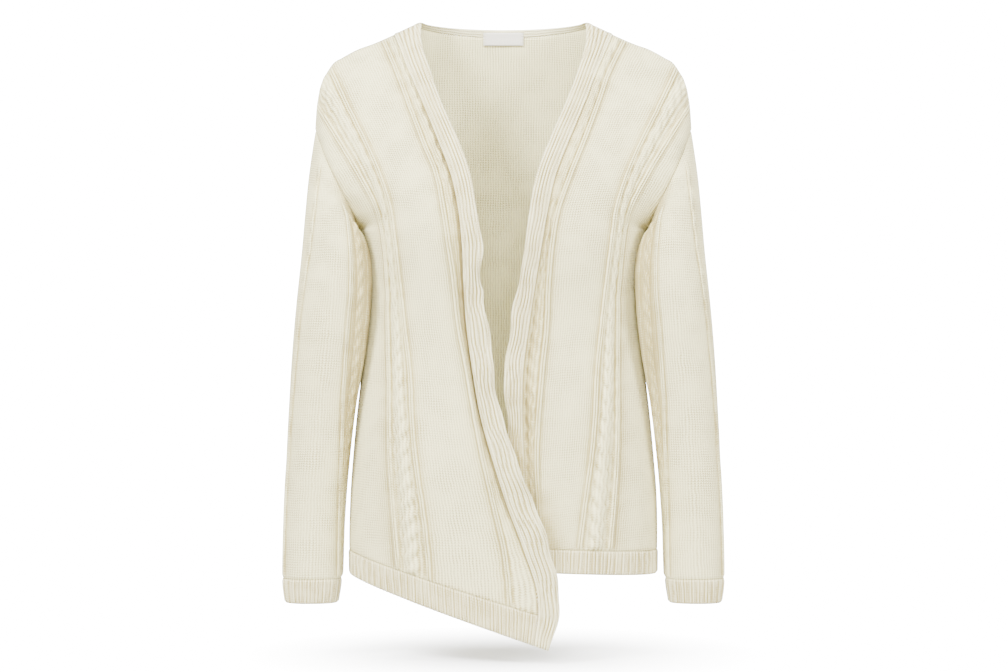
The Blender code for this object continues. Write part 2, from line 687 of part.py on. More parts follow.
def make_sleeve(side, grid, edge_normals, knit, trim):
    """Make a sleeve and its cuff."""
    steps = sleeve_steps()
    normals = grid_normals(grid, closed=True)
    centre = grid.mean(axis=1, keepdims=True)
    if np.sum(normals * (grid - centre)) < 0:
        normals = -normals
    normals[0] = edge_normals
    relief = np.zeros(grid.shape[:2])
    for step in SLEEVE_RIB_STEPS:
        relief[:, np.where(steps == step)[0][0]] = RIB_RISE
    for step in SLEEVE_CABLE_STEPS:
        column = np.where(steps == step)[0][0]
        relief[:, column] = cable_rises(len(grid), 0)[0] * 0.8
    relief[0] = 0
    tube = grid[:SLEEVE_ROWS + 1]
    tube = pulled_in(tube, "first_row", ARMHOLE_PULL)
    tube = pulled_in(tube, "last_row", SEAM_GAP / 2)
    way = normals[:SLEEVE_ROWS + 1]
    lift = relief[:SLEEVE_ROWS + 1, :, None]
    whole = [int(i) for i in np.where(steps == np.floor(steps))[0]]
    rows_used = list(range(0, SLEEVE_ROWS + 1, 2))
    dress(wall("sleeve_" + side, tube + lift * way, tube - WALL * way, rows_used, whole, closed=True), knit)

    cuff = grid[[SLEEVE_ROWS, -1]][:, whole]
    way = normals[[SLEEVE_ROWS, -1]][:, whole]
    cuff = pulled_in(cuff, "first_row", SEAM_GAP / 2)
    looped = np.concatenate([cuff, cuff[:, :1]], axis=1)
    looped_way = np.concatenate([way, way[:, :1]], axis=1)
    points, way, used, peaks = ribbed(looped, looped_way, CUFF_RIBS_PER_STEP)
    points, way, used, peaks = points[:, :-1], way[:, :-1], used[:-1], peaks[:-1]
    dress(wall("cuff_" + side, points + RIB_RISE * peaks[None, :, None] * way, points - WALL * way,
               [0, 1], used, closed=True), trim)


def sleeve_edge_normals(side, sleeve):
    """Normals round the whole armhole, from the fronts and the back beside it."""
    steps = sleeve_steps()
    parts = []
    front_rows = np.clip(steps[steps <= ARMHOLE_STEPS] / ARMHOLE_STEPS, 0, 1)
    back_rows = np.clip((2 * ARMHOLE_STEPS - steps[steps > ARMHOLE_STEPS]) / ARMHOLE_STEPS, 0, 1)
    uniform = np.linspace(0, 1, ARMHOLE_STEPS * ROWS_PER_STEP + 1)
    front = front_grid(side, uniform)
    front_way = shared_edge(side, "front", sleeve, front, uniform)
    coarse = np.linspace(0, 1, ARMHOLE_STEPS + 1)
    back = back_grid(coarse)
    if side == "right":
        back = back[:, ::-1]
    back_way = shared_edge(side, "back", sleeve, back, coarse)
    for way in (front_way, back_way):
        way[0] = flatten_y(way[0])
        way[-1] = flatten_y(way[-1])
    for rows, at, way in ((front_rows, uniform, front_way), (back_rows, coarse, back_way)):
        parts.append(np.stack([np.interp(rows, at, way[:, k]) for k in range(3)], axis=1))
    return unit(np.concatenate(parts))


def make_label(grid, normals, paper):
    """A small bare woven label just under the neck strip, on the inside of the back's first row."""
    width, thickness, height = LABEL_SIZE
    middle = grid.shape[1] // 2
    drops = -grid[:2, middle, 2]
    downs = (np.array([LABEL_TOP, LABEL_TOP + height]) - drops[0]) / (drops[1] - drops[0])
    sides = np.array([-1.0, 0.0, 1.0]) * width / 2 / abs(grid[0, middle + 1, 0])

    def read(values, down, side):
        """Read the grid between its first two rows, beside its middle column."""
        line = values[0] * (1 - down) + values[1] * down
        beside = line[middle + (1 if side > 0 else -1)]
        return line[middle] * (1 - abs(side)) + beside * abs(side)

    points = np.array([[read(grid, down, -side) for side in sides] for down in downs])
    way = unit(np.array([[read(normals, down, -side) for side in sides] for down in downs]))
    near = points - (WALL + SEAM_GAP) * way
    dress(wall("label", near, near - thickness * way, [0, 1], [0, 1, 2]), paper)


COLLECTION = "cardigan"


def main():
    for obj in list(bpy.data.objects):
        bpy.data.objects.remove(obj, do_unlink=True)
    collection = bpy.data.collections.new(COLLECTION)
    bpy.context.scene.collection.children.link(collection)
    knit = material("stockinette_knit", CREAM, 0.95)
    trim = material("rib_knit", PALE_CREAM, 0.95)
    paper = material("woven_label", LABEL_WHITE, 0.8)

    stations = np.concatenate([sleeve_stations(), [SLEEVE["t"][-1]]])
    sleeves = {side: sleeve_grid(side, stations) for side in SIDE}
    make_back(sleeves, knit, trim, paper)
    for side in SIDE:
        make_front(side, sleeves[side], knit, trim)
        make_sleeve(side, sleeves[side], sleeve_edge_normals(side, sleeves[side]), knit, trim)


main()
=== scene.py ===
"""Looks of a knitted open-front cardigan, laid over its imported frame.

Sizes are in millimetres until a mesh is made. A drop is a distance below the neck points, x runs out from
the middle on a piece's own side, and the fronts face -Y. Each panel is one fine grid that follows the same
rows and lines as the frame's solids, so every knitted piece stays where its node is. Only the sides of the
hem hang a few millimetres lower, and the seams are drawn closer.
"""

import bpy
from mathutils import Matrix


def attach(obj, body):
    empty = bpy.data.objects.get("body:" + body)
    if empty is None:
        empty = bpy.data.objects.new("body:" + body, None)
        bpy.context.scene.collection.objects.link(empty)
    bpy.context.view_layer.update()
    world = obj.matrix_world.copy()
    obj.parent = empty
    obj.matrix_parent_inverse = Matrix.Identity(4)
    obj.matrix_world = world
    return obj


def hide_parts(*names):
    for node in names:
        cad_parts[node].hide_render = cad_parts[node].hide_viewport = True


bl_info = {
    "name": "Knitted Cardigan",
    "version": (1, 0, 0),
    "blender": (4, 5, 0),
    "location": "View3D > Sidebar > Cardigan",
    "description": "Knits the panels, bands, sleeves, trims and sewing of an open-front cardigan",
    "category": "Object",
}

import math
from functools import cache

import bmesh
import bpy
import numpy as np
from mathutils import Matrix, Vector

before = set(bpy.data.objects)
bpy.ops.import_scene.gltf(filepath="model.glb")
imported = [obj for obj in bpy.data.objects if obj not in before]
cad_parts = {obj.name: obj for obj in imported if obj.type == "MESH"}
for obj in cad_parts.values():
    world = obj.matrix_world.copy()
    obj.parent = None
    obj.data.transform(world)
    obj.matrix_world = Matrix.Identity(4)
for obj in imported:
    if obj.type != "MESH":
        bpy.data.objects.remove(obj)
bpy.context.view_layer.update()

MM = 0.001
SIDE = {"right": -1.0, "left": 1.0}

# Body. A rounder body has a roundness nearer 2, and a higher levelling brings the rows level sooner
WALL = 2.2
SEAM_GAP = 0.1
ROUNDNESS = 2.4
LEVELLING = 1.7
NECK_HALF_WIDTH = 95.0
NECK_DEPTH = 65.0
NECK_STRIP = 9.5
NECK_REACH = NECK_HALF_WIDTH + NECK_STRIP
BACK_NECK_DROP = 11.5
FRONT_UNDERARM_DROP = 250.0
BACK_UNDERARM_DROP = 246.0
HEM_SEAM_SIDE = 605.0
HEM_SIDE = 632.0
HEM_SEAM_EDGE = {"right": 678.0, "left": 597.0}
HEM_EDGE = {"right": 711.0, "left": 623.0}
OVERLAP_LIFT = {"right": 5.0, "left": -6.0}
FLARE_REACH = 14.0
SLEEVE_CLEARANCE = 1.5

# Ribs: of the hems and cuffs, of the panels, and across a band as shares of its width
RIB_PITCH = 4.7
RIB_HALF = 3.0
BAND_RIBS = (0.20, 0.88)
BAND_RIB_COUNT = 4

# Rows and columns of the fine grids. Counts in brackets lie between a row's ribs, cables and seams in turn
ARMHOLE_ROWS = 96
BODY_ROWS = 160
HEM_ROWS = 11
SLEEVE_ROWS = 200
CUFF_ROWS = 12
BACK_ARMHOLE_ROWS = 72
BACK_BODY_ROWS = 110
PANEL_COUNTS = (16, 8, 3, 14, 3, 8, 22, 8, 16)
PANEL_COLUMNS = sum(PANEL_COUNTS) + 1
BAND_COLUMNS = 30
BACK_OUTER_COLUMNS = 30
BACK_NECK_COLUMNS = 50
NECK_STRIP_ROWS = 9
LABEL_ROWS = 9
LABEL_COLUMNS = 25
TRIM_RIB_COLUMNS = 6
SLEEVE_COUNTS = (44, 16, 10, 8, 26, 8, 3, 14, 3, 8, 4)
SLEEVE_START = -170.0
BLEND_REACH = 9.0

# Where the panels' rows end and the trims' begin: a hair apart, so that the seam shows
PANEL_END = 1.9999
HEM_START = 2.0015
TUBE_START = 0.0003
TUBE_END = 0.9999
CUFF_START = 1.0002
CUFF_END = 1.12

# Label
LABEL_SIZE = (48.0, 15.0)
LABEL_TOP = 5.0
LABEL_THICK = 0.5
TACK_LENGTH = 3.2
TACK_RADIUS = 0.4

# Linking stitches of the seams, sunk under the knit so that only their backs show
STITCH_PITCH = 2.0
STITCH_LENGTH = 2.6
STITCH_RADIUS = 0.45
STITCH_SINK = 1.6
STITCH_SLANT = 0.5

# Finish of the knit: how strongly the painted shade darkens the yarn's colour between stitches and in hollows
STITCH_CONTRAST = 1.0
HOLLOW_SHADE = 0.85

# Studio, in metres: each light's place, share of the key's power, size and colour, and where they all aim
LIGHTS = {
    "key": ((-1.7, -1.7, 1.5), 1.0, 0.8, (1.0, 1.0, 0.96)),
    "side": ((1.9, -1.6, 1.1), 0.55, 0.8, (1.0, 1.0, 0.96)),
    "front": ((0.0, -2.4, 0.8), 0.42, 1.2, (1.0, 1.0, 0.98)),
    "rear": ((0.7, 2.6, 1.0), 0.8, 1.4, (1.0, 1.0, 0.97)),
}
LIGHT_AIM = (0, 0, -0.36)
FLOOR_RADIUS = 1.35

# Camera square to the front, so that the photograph's width covers FRAME_WIDTH at the shoulders' plane
CAMERA_DISTANCE = 3.2
FRAME_WIDTH = 1.1592
SENSOR_WIDTH = 36.0
CAMERA_PLACE = (0.0007, -CAMERA_DISTANCE, -0.361)
CAMERA_LENS = SENSOR_WIDTH * CAMERA_DISTANCE / FRAME_WIDTH


def table(names, rows):
    """Return the columns of a table of rows under their names."""
    return dict(zip(names.split(), np.array(rows, dtype=float).T))


SHOULDER = table("x drop", [
    (95, 0), (104.5, 4), (125, 13.5), (150, 24.5), (169, 31.5), (186, 40.8), (196, 47), (203, 57),
    (209.3, 69), (213, 83), (215.6, 104), (216.8, 124),
])

ARMHOLE = table("u x y drop", [
    (0.000, 216.8, 0, 124), (0.167, 211.0, 27, 137), (0.333, 200.5, 47, 162), (0.500, 187.5, 57, 189),
    (0.667, 174.5, 54, 214), (0.833, 167.0, 33, 234), (1.000, 171.0, 0, 241),
])

SHOULDER_DEPTH = table("u front back", [
    (0.000, 0, 0), (0.014, 9, 11), (0.042, 17.5, 21), (0.083, 27, 32), (0.167, 41, 49), (0.333, 63, 72),
    (0.500, 80, 86), (0.667, 94.5, 94), (0.833, 103.5, 98.5), (1.000, 106.5, 100), (1.150, 106.5, 99),
])

BODY = table("drop half_width front back", [
    (241, 162.0, 106.5, 100.5), (258, 158.5, 106.4, 99.5), (272, 156.5, 105.5, 97.5),
    (292, 155.0, 103.5, 93.5), (320, 154.5, 100.5, 89.5), (344, 155.8, 98.8, 87.5), (375, 159.5, 98, 89),
    (412, 163.8, 99, 92), (453, 168.6, 101, 96), (492, 172.2, 103, 99), (534, 175.3, 105, 102),
    (584, 176.7, 107, 104), (630, 176.5, 108, 104), (715, 176.5, 109, 104),
])

FLARE = table("drop out", [(226, 0), (234, 3.5), (241, 9.0), (248, 4.0), (258, 1.0), (268, 0)])

# Lines seen from the front: the rib, cable and rib towards the side, then each front's border rib, band seam
# and free edge
LINES = table("drop outer_rib cable inner_rib rib_right seam_right edge_right rib_left seam_left edge_left", [
    (0, 275, 252, 232, 147, 133.0, 95.0, 147, 133.0, 95.0),
    (20, 262, 240, 215, 138, 124.0, 94.5, 139, 124.0, 95.0),
    (60, 236, 214, 196, 121, 108.5, 83.0, 120, 107.0, 84.5),
    (100, 211, 189, 177, 106, 91.0, 69.0, 106, 91.5, 69.5),
    (140, 186, 167, 157, 91, 75.0, 51.0, 91, 75.0, 52.0),
    (180, 162, 147, 139.5, 75, 60.0, 37.0, 75, 59.5, 37.0),
    (220, 142, 135, 127, 67, 51.5, 30.0, 61, 50.5, 29.5),
    (260, 134, 128.5, 121, 61, 47.5, 24.0, 54, 43.5, 24.0),
    (300, 131, 124, 116, 55.5, 46.0, 25.0, 50.5, 37.0, 17.5),
    (350, 130.7, 120.5, 110.5, 50, 42.5, 17.0, 48.5, 29.5, 7.5),
    (400, 129.5, 119, 105, 40.5, 35.5, 10.5, 43.5, 23.0, 1.5),
    (450, 128.5, 116, 102.5, 32, 26.5, 1.5, 39.5, 22.0, 3.0),
    (500, 127.5, 112, 98, 22, 12.5, -15.0, 37.5, 24.0, 4.0),
    (550, 124, 107.5, 91, 10.5, -3.5, -36.0, 39, 25.5, 2.0),
    (600, 119.7, 103.5, 85, -1, -22.5, -52.0, 41, 25.0, -1.0),
    (650, 116, 101.5, 81.5, -6.5, -37.5, -63.5, 42, 24.0, -3.0),
    (715, 112, 98, 78, -7, -33.0, -50.0, 43, 24.0, -3.0),
])

# Trough beside each band's seam, where the border cable folds in
TROUGH = table("drop right left", [
    (0, 0, 0), (60, 2.5, 1.5), (140, 6.0, 2.5), (260, 9.0, 4.0), (400, 9.5, 7.5), (460, 9.0, 8.5),
    (520, 7.5, 7.0), (590, 4.0, 3.0), (640, 1.0, 0.5), (715, 0, 0),
])
CREASE_REACH = {"right": 4.0, "left": 4.5}
CREASE_SHAPE = {"right": (0, -0.6, -1, 0), "left": (0, -1, -0.6, 0)}

SLEEVE = table("t outer_x outer_drop inner_x inner_drop depth forward", [
    (0.00, 216.8, 124, 171.0, 241, 57, 0), (0.05, 219.3, 148, 166.0, 246, 57, -6),
    (0.10, 221.8, 173, 154.0, 258, 56, -14), (0.18, 225.0, 212, 147.0, 284, 54, -24),
    (0.28, 229.5, 262, 148.5, 325, 51, -28), (0.40, 235.5, 322, 155.0, 375, 47, -28),
    (0.55, 243.0, 405, 168.0, 440, 42, -24), (0.70, 247.6, 485, 177.0, 505, 37, -22),
    (0.85, 251.0, 560, 182.5, 570, 33, -20), (1.00, 251.6, 637, 185.0, 637, 30, -20),
    (1.12, 248.8, 665, 189.0, 665, 28, -20),
])

# Angles round the sleeve from its outer line, in degrees over the front, where its ribs and cables run
SLEEVE_LINES = table("t side_rib front_rib cable", [
    (0.00, 50, 103, 119), (0.18, 45, 110, 126), (0.28, 40, 114, 131), (0.40, 36, 117, 137),
    (0.55, 33, 128, 147), (0.70, 28, 141, 158), (0.85, 25, 149, 165), (1.12, 22, 154, 170),
])
BACK_CABLE_ANGLE = -45.0

# Across the fronts in the knitting itself: where each line lies from the band's seam
KNIT_WIDTHS = {"rib": 112.0, "cable": 101.0, "inner": 90.0, "border": 15.0}

# Soft folds between two points of the front view, or of a sleeve, hollow where their depth is positive
FOLDS = {
    "right": table("x drop to_x to_drop width depth", [
        (150, 120, 132, 205, 13, 2.0),
        (132, 320, 138, 420, 14, 1.4),
        (80, 560, 110, 640, 22, 1.4),
        (66, 300, 74, 470, 18, 1.4),
        (150, 470, 146, 580, 16, 1.3),
    ]),
    "left": table("x drop to_x to_drop width depth", [
        (150, 120, 132, 205, 13, 2.0),
        (132, 320, 138, 420, 14, 1.4),
        (62, 330, 68, 520, 16, 1.6),
        (34, 470, 62, 590, 15, 6.0),
        (150, 470, 146, 580, 16, 1.3),
    ]),
}
BACK_FOLDS = table("x drop to_x to_drop width depth", [
    (-14, 290, -8, 520, 20, 3.2), (14, 300, 18, 480, 12, -2.2), (-42, 290, -46, 500, 16, -2.4),
    (88, 300, 110, 520, 22, 1.6), (-90, 300, -112, 520, 22, 1.6), (60, 120, 130, 200, 24, 1.2),
    (-60, 120, -130, 200, 24, 1.2),
])
SLEEVE_FOLDS = table("angle t to_angle to_t width depth", [
    (150, 0.08, 80, 0.17, 16, 2.4), (185, 0.13, 60, 0.26, 18, 1.6), (170, 0.30, 100, 0.36, 14, 1.2),
    (150, 0.42, 70, 0.47, 15, 1.0), (-60, 0.10, -120, 0.22, 18, 2.0), (-50, 0.38, -130, 0.46, 18, 1.4),
    (100, 0.66, 30, 0.72, 16, 0.8),
])


def curve(at, knots, values):
    """Read a smooth curve through the knots, flat beyond both ends."""
    slopes = np.gradient(values, knots)
    at = np.clip(at, knots[0], knots[-1])
    i = np.clip(np.searchsorted(knots, at, side="right") - 1, 0, len(knots) - 2)
    span = knots[i + 1] - knots[i]
    t = (at - knots[i]) / span
    rise = values[i + 1] - values[i]
    ease = t * t * (3 - 2 * t)
    bend = t * (1 - t) * ((1 - t) * slopes[i] - t * slopes[i + 1]) * span
    return values[i] + ease * rise + bend


def eased(at, knots, values):
    """Read values between knots with a level start and end to every step."""
    t = np.interp(at, knots, np.arange(len(knots)))
    i = np.clip(np.floor(t).astype(int), 0, len(knots) - 2)
    share = t - i
    share = share * share * (3 - 2 * share)
    values = np.asarray(values, dtype=float)
    return values[i] * (1 - share) + values[i + 1] * share


def smooth(values):
    """Ease values from 0 to 1."""
    values = np.clip(values, 0, 1)
    return values * values * (3 - 2 * values)


def bell(distance, width):
    """Fall smoothly from 1 to 0 over a distance a little past the width."""
    return np.exp(-(distance / width) ** 2)


def unit(vectors):
    """Scale vectors to length one."""
    return vectors / np.maximum(np.linalg.norm(vectors, axis=-1, keepdims=True), 1e-9)


def power(values, exponent):
    """Raise to a power and keep the sign."""
    return np.sign(values) * np.abs(values) ** exponent


def along(points):
    """Length along a line of points."""
    steps = np.linalg.norm(np.diff(points, axis=0), axis=1)
    return np.concatenate([[0.0], np.cumsum(steps)])


def at_lengths(points, length, stations):
    """Points of a row at the given lengths along it."""
    return np.stack([np.interp(stations, length, points[:, k]) for k in range(3)], axis=1)


# Rows round the body. w is 0 to 1 down the armhole, 1 to 2 down to the hem's seam, 2 to 3 down the hem

def armhole_points(u):
    """Points of the front armhole, u from the shoulder's end to the underarm."""
    return [curve(u, ARMHOLE["u"], ARMHOLE[name]) for name in ("x", "y", "drop")]


def flare(drop):
    """How far the cloth beside the underarm stands out past the body's plain width."""
    return float(np.interp(drop, FLARE["drop"], FLARE["out"]))


def outer_edge(w):
    """Where a row starts: on the armhole, or on the side seam below the underarm."""
    if w <= 1:
        return [float(value) for value in armhole_points(w)]
    drop = np.interp(w, [1, 2, 3], [ARMHOLE["drop"][-1], HEM_SEAM_SIDE, HEM_SIDE])
    return [float(curve(drop, BODY["drop"], BODY["half_width"])) + flare(drop), 0.0, float(drop)]


def middle_depth(w, drop, face):
    """How far a row stands out in front of the shoulder line, or behind it, at its middle."""
    if w <= 1:
        return float(curve(w, SHOULDER_DEPTH["u"], SHOULDER_DEPTH[face]))
    return float(curve(drop, BODY["drop"], BODY[face]))


def row_fan(depth, x_start, y_start, x_end, out):
    """Return x and y along a row, an arc of a squarish oval that starts on the armhole or side seam."""
    x_start = x_start - out
    lean = min(y_start / depth, 0.98) if depth > 0 else 0.0
    start = np.arcsin(lean ** (ROUNDNESS / 2))
    half_width = x_start / np.cos(start) ** (2 / ROUNDNESS)
    turn = np.arccos(np.clip(power(x_end / half_width, ROUNDNESS / 2), -1, 1))
    angle = np.linspace(start, turn, 400)
    x = half_width * power(np.cos(angle), 2 / ROUNDNESS)
    y = depth * power(np.sin(angle), 2 / ROUNDNESS)
    way = np.hypot(x - x[0], y - y[0])
    return x + out * bell(way, FLARE_REACH), y


def levelled(w):
    """How far a row has turned from the shoulder line to a level one, all the way by the underarm."""
    return 1 - (1 - min(w, 1.0)) ** LEVELLING


def shoulder_drop(x):
    """Drop of the shoulder line."""
    return curve(x, SHOULDER["x"], SHOULDER["drop"])


def front_row(side, w):
    """Dense points of one row of a front, from the side to the band's free edge, x outward."""
    x_start, y_start, drop_start = outer_edge(w)
    edge_drops = [0, FRONT_UNDERARM_DROP, HEM_SEAM_EDGE[side], HEM_EDGE[side]]
    drop_end = float(np.interp(w, [0, 1, 2, 3], edge_drops))
    x_end = float(curve(drop_end, LINES["drop"], LINES["edge_" + side]))
    depth = middle_depth(w, drop_end, "front") + OVERLAP_LIFT[side] * min(w, 1.0)
    x, y = row_fan(max(depth, 0.0), x_start, y_start, x_end, flare(drop_start))
    q = (x_start - x) / (x_start - x_end)
    level = levelled(w)
    top = shoulder_drop(SHOULDER["x"][-1] + q * (NECK_HALF_WIDTH - SHOULDER["x"][-1]))
    low = SHOULDER["drop"][-1]
    share = (1 - level) * (low - top) / low + level * q
    drop = drop_start + (drop_end - drop_start) * share
    return np.stack([x, -y, drop], axis=1)


def crossing(points, length, line):
    """Length along a row where it meets a line of the table, below zero where the line is off the panel."""
    ahead = points[:, 0] - curve(points[:, 2], LINES["drop"], LINES[line])
    if ahead[0] < 0:
        return float(ahead[0])
    i = int(np.argmax(ahead < 0))
    if ahead[i] >= 0:
        return float(length[-1])
    part = ahead[i - 1] / (ahead[i - 1] - ahead[i])
    return float(length[i - 1] + part * (length[i] - length[i - 1]))


def spread(stations, first, last, least=0.12):
    """Keep the stations of a row in order and apart, between a first and a last length."""
    ramp = least * np.arange(len(stations))
    stations = np.maximum.accumulate(np.maximum(stations, first) - ramp) + ramp
    from_end = np.minimum(stations, last)[::-1] + ramp
    return (np.minimum.accumulate(from_end) - ramp)[::-1]


def filled(anchors, counts):
    """Stations through the anchors, each step split into its count."""
    parts = [np.linspace(a, b, n, endpoint=False) for a, b, n in zip(anchors, anchors[1:], counts)]
    return np.concatenate(parts + [[anchors[-1]]])


def front_grid(side, rows, cable_share):
    """Fine grid of a whole front with its band and hem, and the measures that its patterns need."""
    grid, facts = [], []
    for w in rows:
        points = front_row(side, w)
        length = along(points)
        lines = ["outer_rib", "cable", "inner_rib", "rib_" + side, "seam_" + side]
        rib, cable, inner, border, seam = [crossing(points, length, line) for line in lines]
        half = cable_share / 2 * (inner - rib)
        anchors = [
            0.5, rib - RIB_HALF, rib + RIB_HALF, cable - half - 0.8, cable + half + 0.8,
            inner - RIB_HALF, inner + RIB_HALF, border - RIB_HALF, border + RIB_HALF, seam - SEAM_GAP / 2,
        ]
        panel = spread(filled(anchors, PANEL_COUNTS), 0.4, seam - SEAM_GAP / 2)
        band = np.linspace(seam + SEAM_GAP / 2, length[-1], BAND_COLUMNS)
        stations = np.concatenate([panel, band])
        grid.append(at_lengths(points, length, stations))
        facts.append(np.concatenate([[rib, cable, inner, border, seam, length[-1], half], stations]))
    facts = np.array(facts)
    names = ("rib", "cable", "inner", "border", "seam", "end", "half")
    measures = {name: facts[:, k:k + 1] for k, name in enumerate(names)}
    measures["s"] = facts[:, len(names):]
    grid = eased_chest(np.array(grid), np.asarray(rows))
    grid[:, :, 0] *= SIDE[side]
    grid[:, :, 2] *= -1
    return grid, measures


def eased_chest(grid, rows):
    """Even out the depth of the rows round the underarm's height, away from the seams."""
    near = bell(rows - 1.02, 0.16)[:, None]
    columns = smooth((np.arange(grid.shape[1]) - 1) / 14)[None]
    for _ in range(60):
        depth = grid[:, :, 1]
        mean = depth.copy()
        mean[1:-1] = (depth[:-2] + 2 * depth[1:-1] + depth[2:]) / 4
        grid[:, :, 1] = depth + near * columns * (mean - depth)
    return grid


def down_length(grid):
    """Length down each column, counted from the first row."""
    steps = np.linalg.norm(np.diff(grid, axis=0), axis=2)
    return np.concatenate([np.zeros((1, grid.shape[1])), np.cumsum(steps, axis=0)])


def grid_normals(grid, closed=False):
    """Normals of a grid of points."""
    if closed:
        across = np.roll(grid, -1, axis=1) - np.roll(grid, 1, axis=1)
    else:
        across = np.gradient(grid, axis=1)
    down = np.gradient(grid, axis=0)
    return unit(np.cross(across, down))


def facing_out(normals, grid):
    """Turn normals away from the body's upright middle line."""
    middle = grid.reshape(-1, 3).mean(axis=0)
    outward = np.array([middle[0], middle[1], 0.0])
    if np.sum(normals.reshape(-1, 3) @ outward) < 0:
        return -normals
    return normals


def leaned(normals, targets, share):
    """Lean normals towards targets by a share."""
    return unit(normals * (1 - share[..., None]) + targets * share[..., None])


def flat_y(normals):
    """Normals laid into the plane that the front and back share."""
    return unit(normals * np.array([1.0, 0.0, 1.0]))


# Sleeves

def armhole_loop(steps):
    """Points round the armhole at steps of 0 to 2, down the front and up the back, x outward."""
    steps = np.mod(np.asarray(steps, dtype=float), 2)
    behind = steps > 1
    down = np.where(behind, 2 - steps, steps)
    x, y, drop = armhole_points(down)
    return np.stack([x, np.where(behind, y, -y), drop], axis=1)


def body_reach(y, drop):
    """Half width of the body at a depth and drop."""
    width = curve(drop, BODY["drop"], BODY["half_width"])
    front = curve(drop, BODY["drop"], BODY["front"]) + 5
    depth = np.where(y < 0, front, curve(drop, BODY["drop"], BODY["back"]))
    inside = np.clip(1 - np.abs(y / depth) ** ROUNDNESS, 0, 1)
    return width * inside ** (1 / ROUNDNESS)


def sleeve_ring(t, degrees):
    """Points of one ring of the sleeve before it meets the armhole or the body."""
    values = {name: float(curve(t, SLEEVE["t"], SLEEVE[name])) for name in SLEEVE if name != "t"}
    angle = np.radians(degrees)
    out = (1 + power(np.cos(angle), 0.9)) / 2
    x = values["inner_x"] + (values["outer_x"] - values["inner_x"]) * out
    drop = values["inner_drop"] + (values["outer_drop"] - values["inner_drop"]) * out
    y = values["forward"] - values["depth"] * power(np.sin(angle), 0.9)
    return np.stack([x, y, drop], axis=1)


def sleeve_row(t, degrees):
    """Points of one ring of the sleeve, on the armhole at t of 0 and clear of the body."""
    misfit = armhole_loop(degrees / 180) - sleeve_ring(0.0, degrees)
    ring = sleeve_ring(t, degrees) + misfit * max(0.0, 1 - t / 0.22) ** 2
    below = smooth((ring[:, 2] - ARMHOLE["drop"][-1]) / 6)
    beside = np.interp(ring[:, 2], FLARE["drop"], FLARE["out"]) * bell(ring[:, 1], FLARE_REACH)
    least = body_reach(ring[:, 1], ring[:, 2]) + beside + SLEEVE_CLEARANCE
    ring[:, 0] += below * np.maximum(least - ring[:, 0], 0)
    return ring


def sleeve_lines(t):
    """Angles of a ring's ribs and cables, in degrees."""
    side, front, cable = [float(curve(t, SLEEVE_LINES["t"], SLEEVE_LINES[name]))
                          for name in ("side_rib", "front_rib", "cable")]
    return side, front, cable, cable + (cable - front)


def sleeve_angles(t):
    """Angles of a ring's columns, close together on its ribs and cables."""
    side, front, cable, inner = sleeve_lines(t)
    inner = min(inner, 184.0)
    anchors = [
        SLEEVE_START, BACK_CABLE_ANGLE - 10, BACK_CABLE_ANGLE + 10, side - 5, side + 5, front - 5, front + 5,
        cable - 9, cable + 9, max(inner - 5, cable + 9.5), max(inner + 5, cable + 12), SLEEVE_START + 360,
    ]
    return filled(anchors, SLEEVE_COUNTS)


def sleeve_grid(side, stations):
    """Fine grid of a sleeve with its cuff: a ring to each station, and the angle of each point."""
    angles = np.array([sleeve_angles(t) for t in stations])
    grid = np.array([sleeve_row(t, ring) for t, ring in zip(stations, angles)])
    grid[:, :, 0] *= SIDE[side]
    grid[:, :, 2] *= -1
    return grid, angles


@cache
def armhole_ways(side, face):
    """Normals that the panels and the sleeve share, at even shares down one half of the armhole."""
    shares = np.linspace(0, 1, 97)
    sign = SIDE[side]
    ways = []
    for u in shares:
        step = u if face == "front" else 2 - u
        here = armhole_loop([step - 0.004, step, step + 0.004])
        tangent = here[2] - here[0]
        row = front_row(side, u) if face == "front" else back_row(u)
        length = along(row)
        panel = at_lengths(row, length, [7.0])[0]
        sleeve = sleeve_row(0.016, np.array([step * 180.0]))[0]
        way = np.cross(tangent, sleeve - panel)
        outward = np.array([0.6, -1.0 if face == "front" else 1.0, -0.2])
        ways.append(way if way @ outward > 0 else -way)
    ways = unit(np.array(ways)) * np.array([sign, 1.0, -1.0])
    ways[0] = flat_y(ways[0])
    ways[-1] = flat_y(ways[-1])
    return shares, ways


def read_ways(shares, ways, at):
    """Read shared normals at other places down the armhole."""
    return unit(np.stack([np.interp(at, shares, ways[:, k]) for k in range(3)], axis=-1))


# Back

def back_neck(x):
    """Depth and drop of the back panel's neck edge, below the neck strip."""
    inside = np.clip(1 - (x / NECK_REACH) ** 2, 0, 1)
    depth = (NECK_DEPTH + 2) * np.sqrt(inside)
    start = float(shoulder_drop(NECK_REACH))
    drop = start + (BACK_NECK_DROP - start) * inside
    return depth, drop


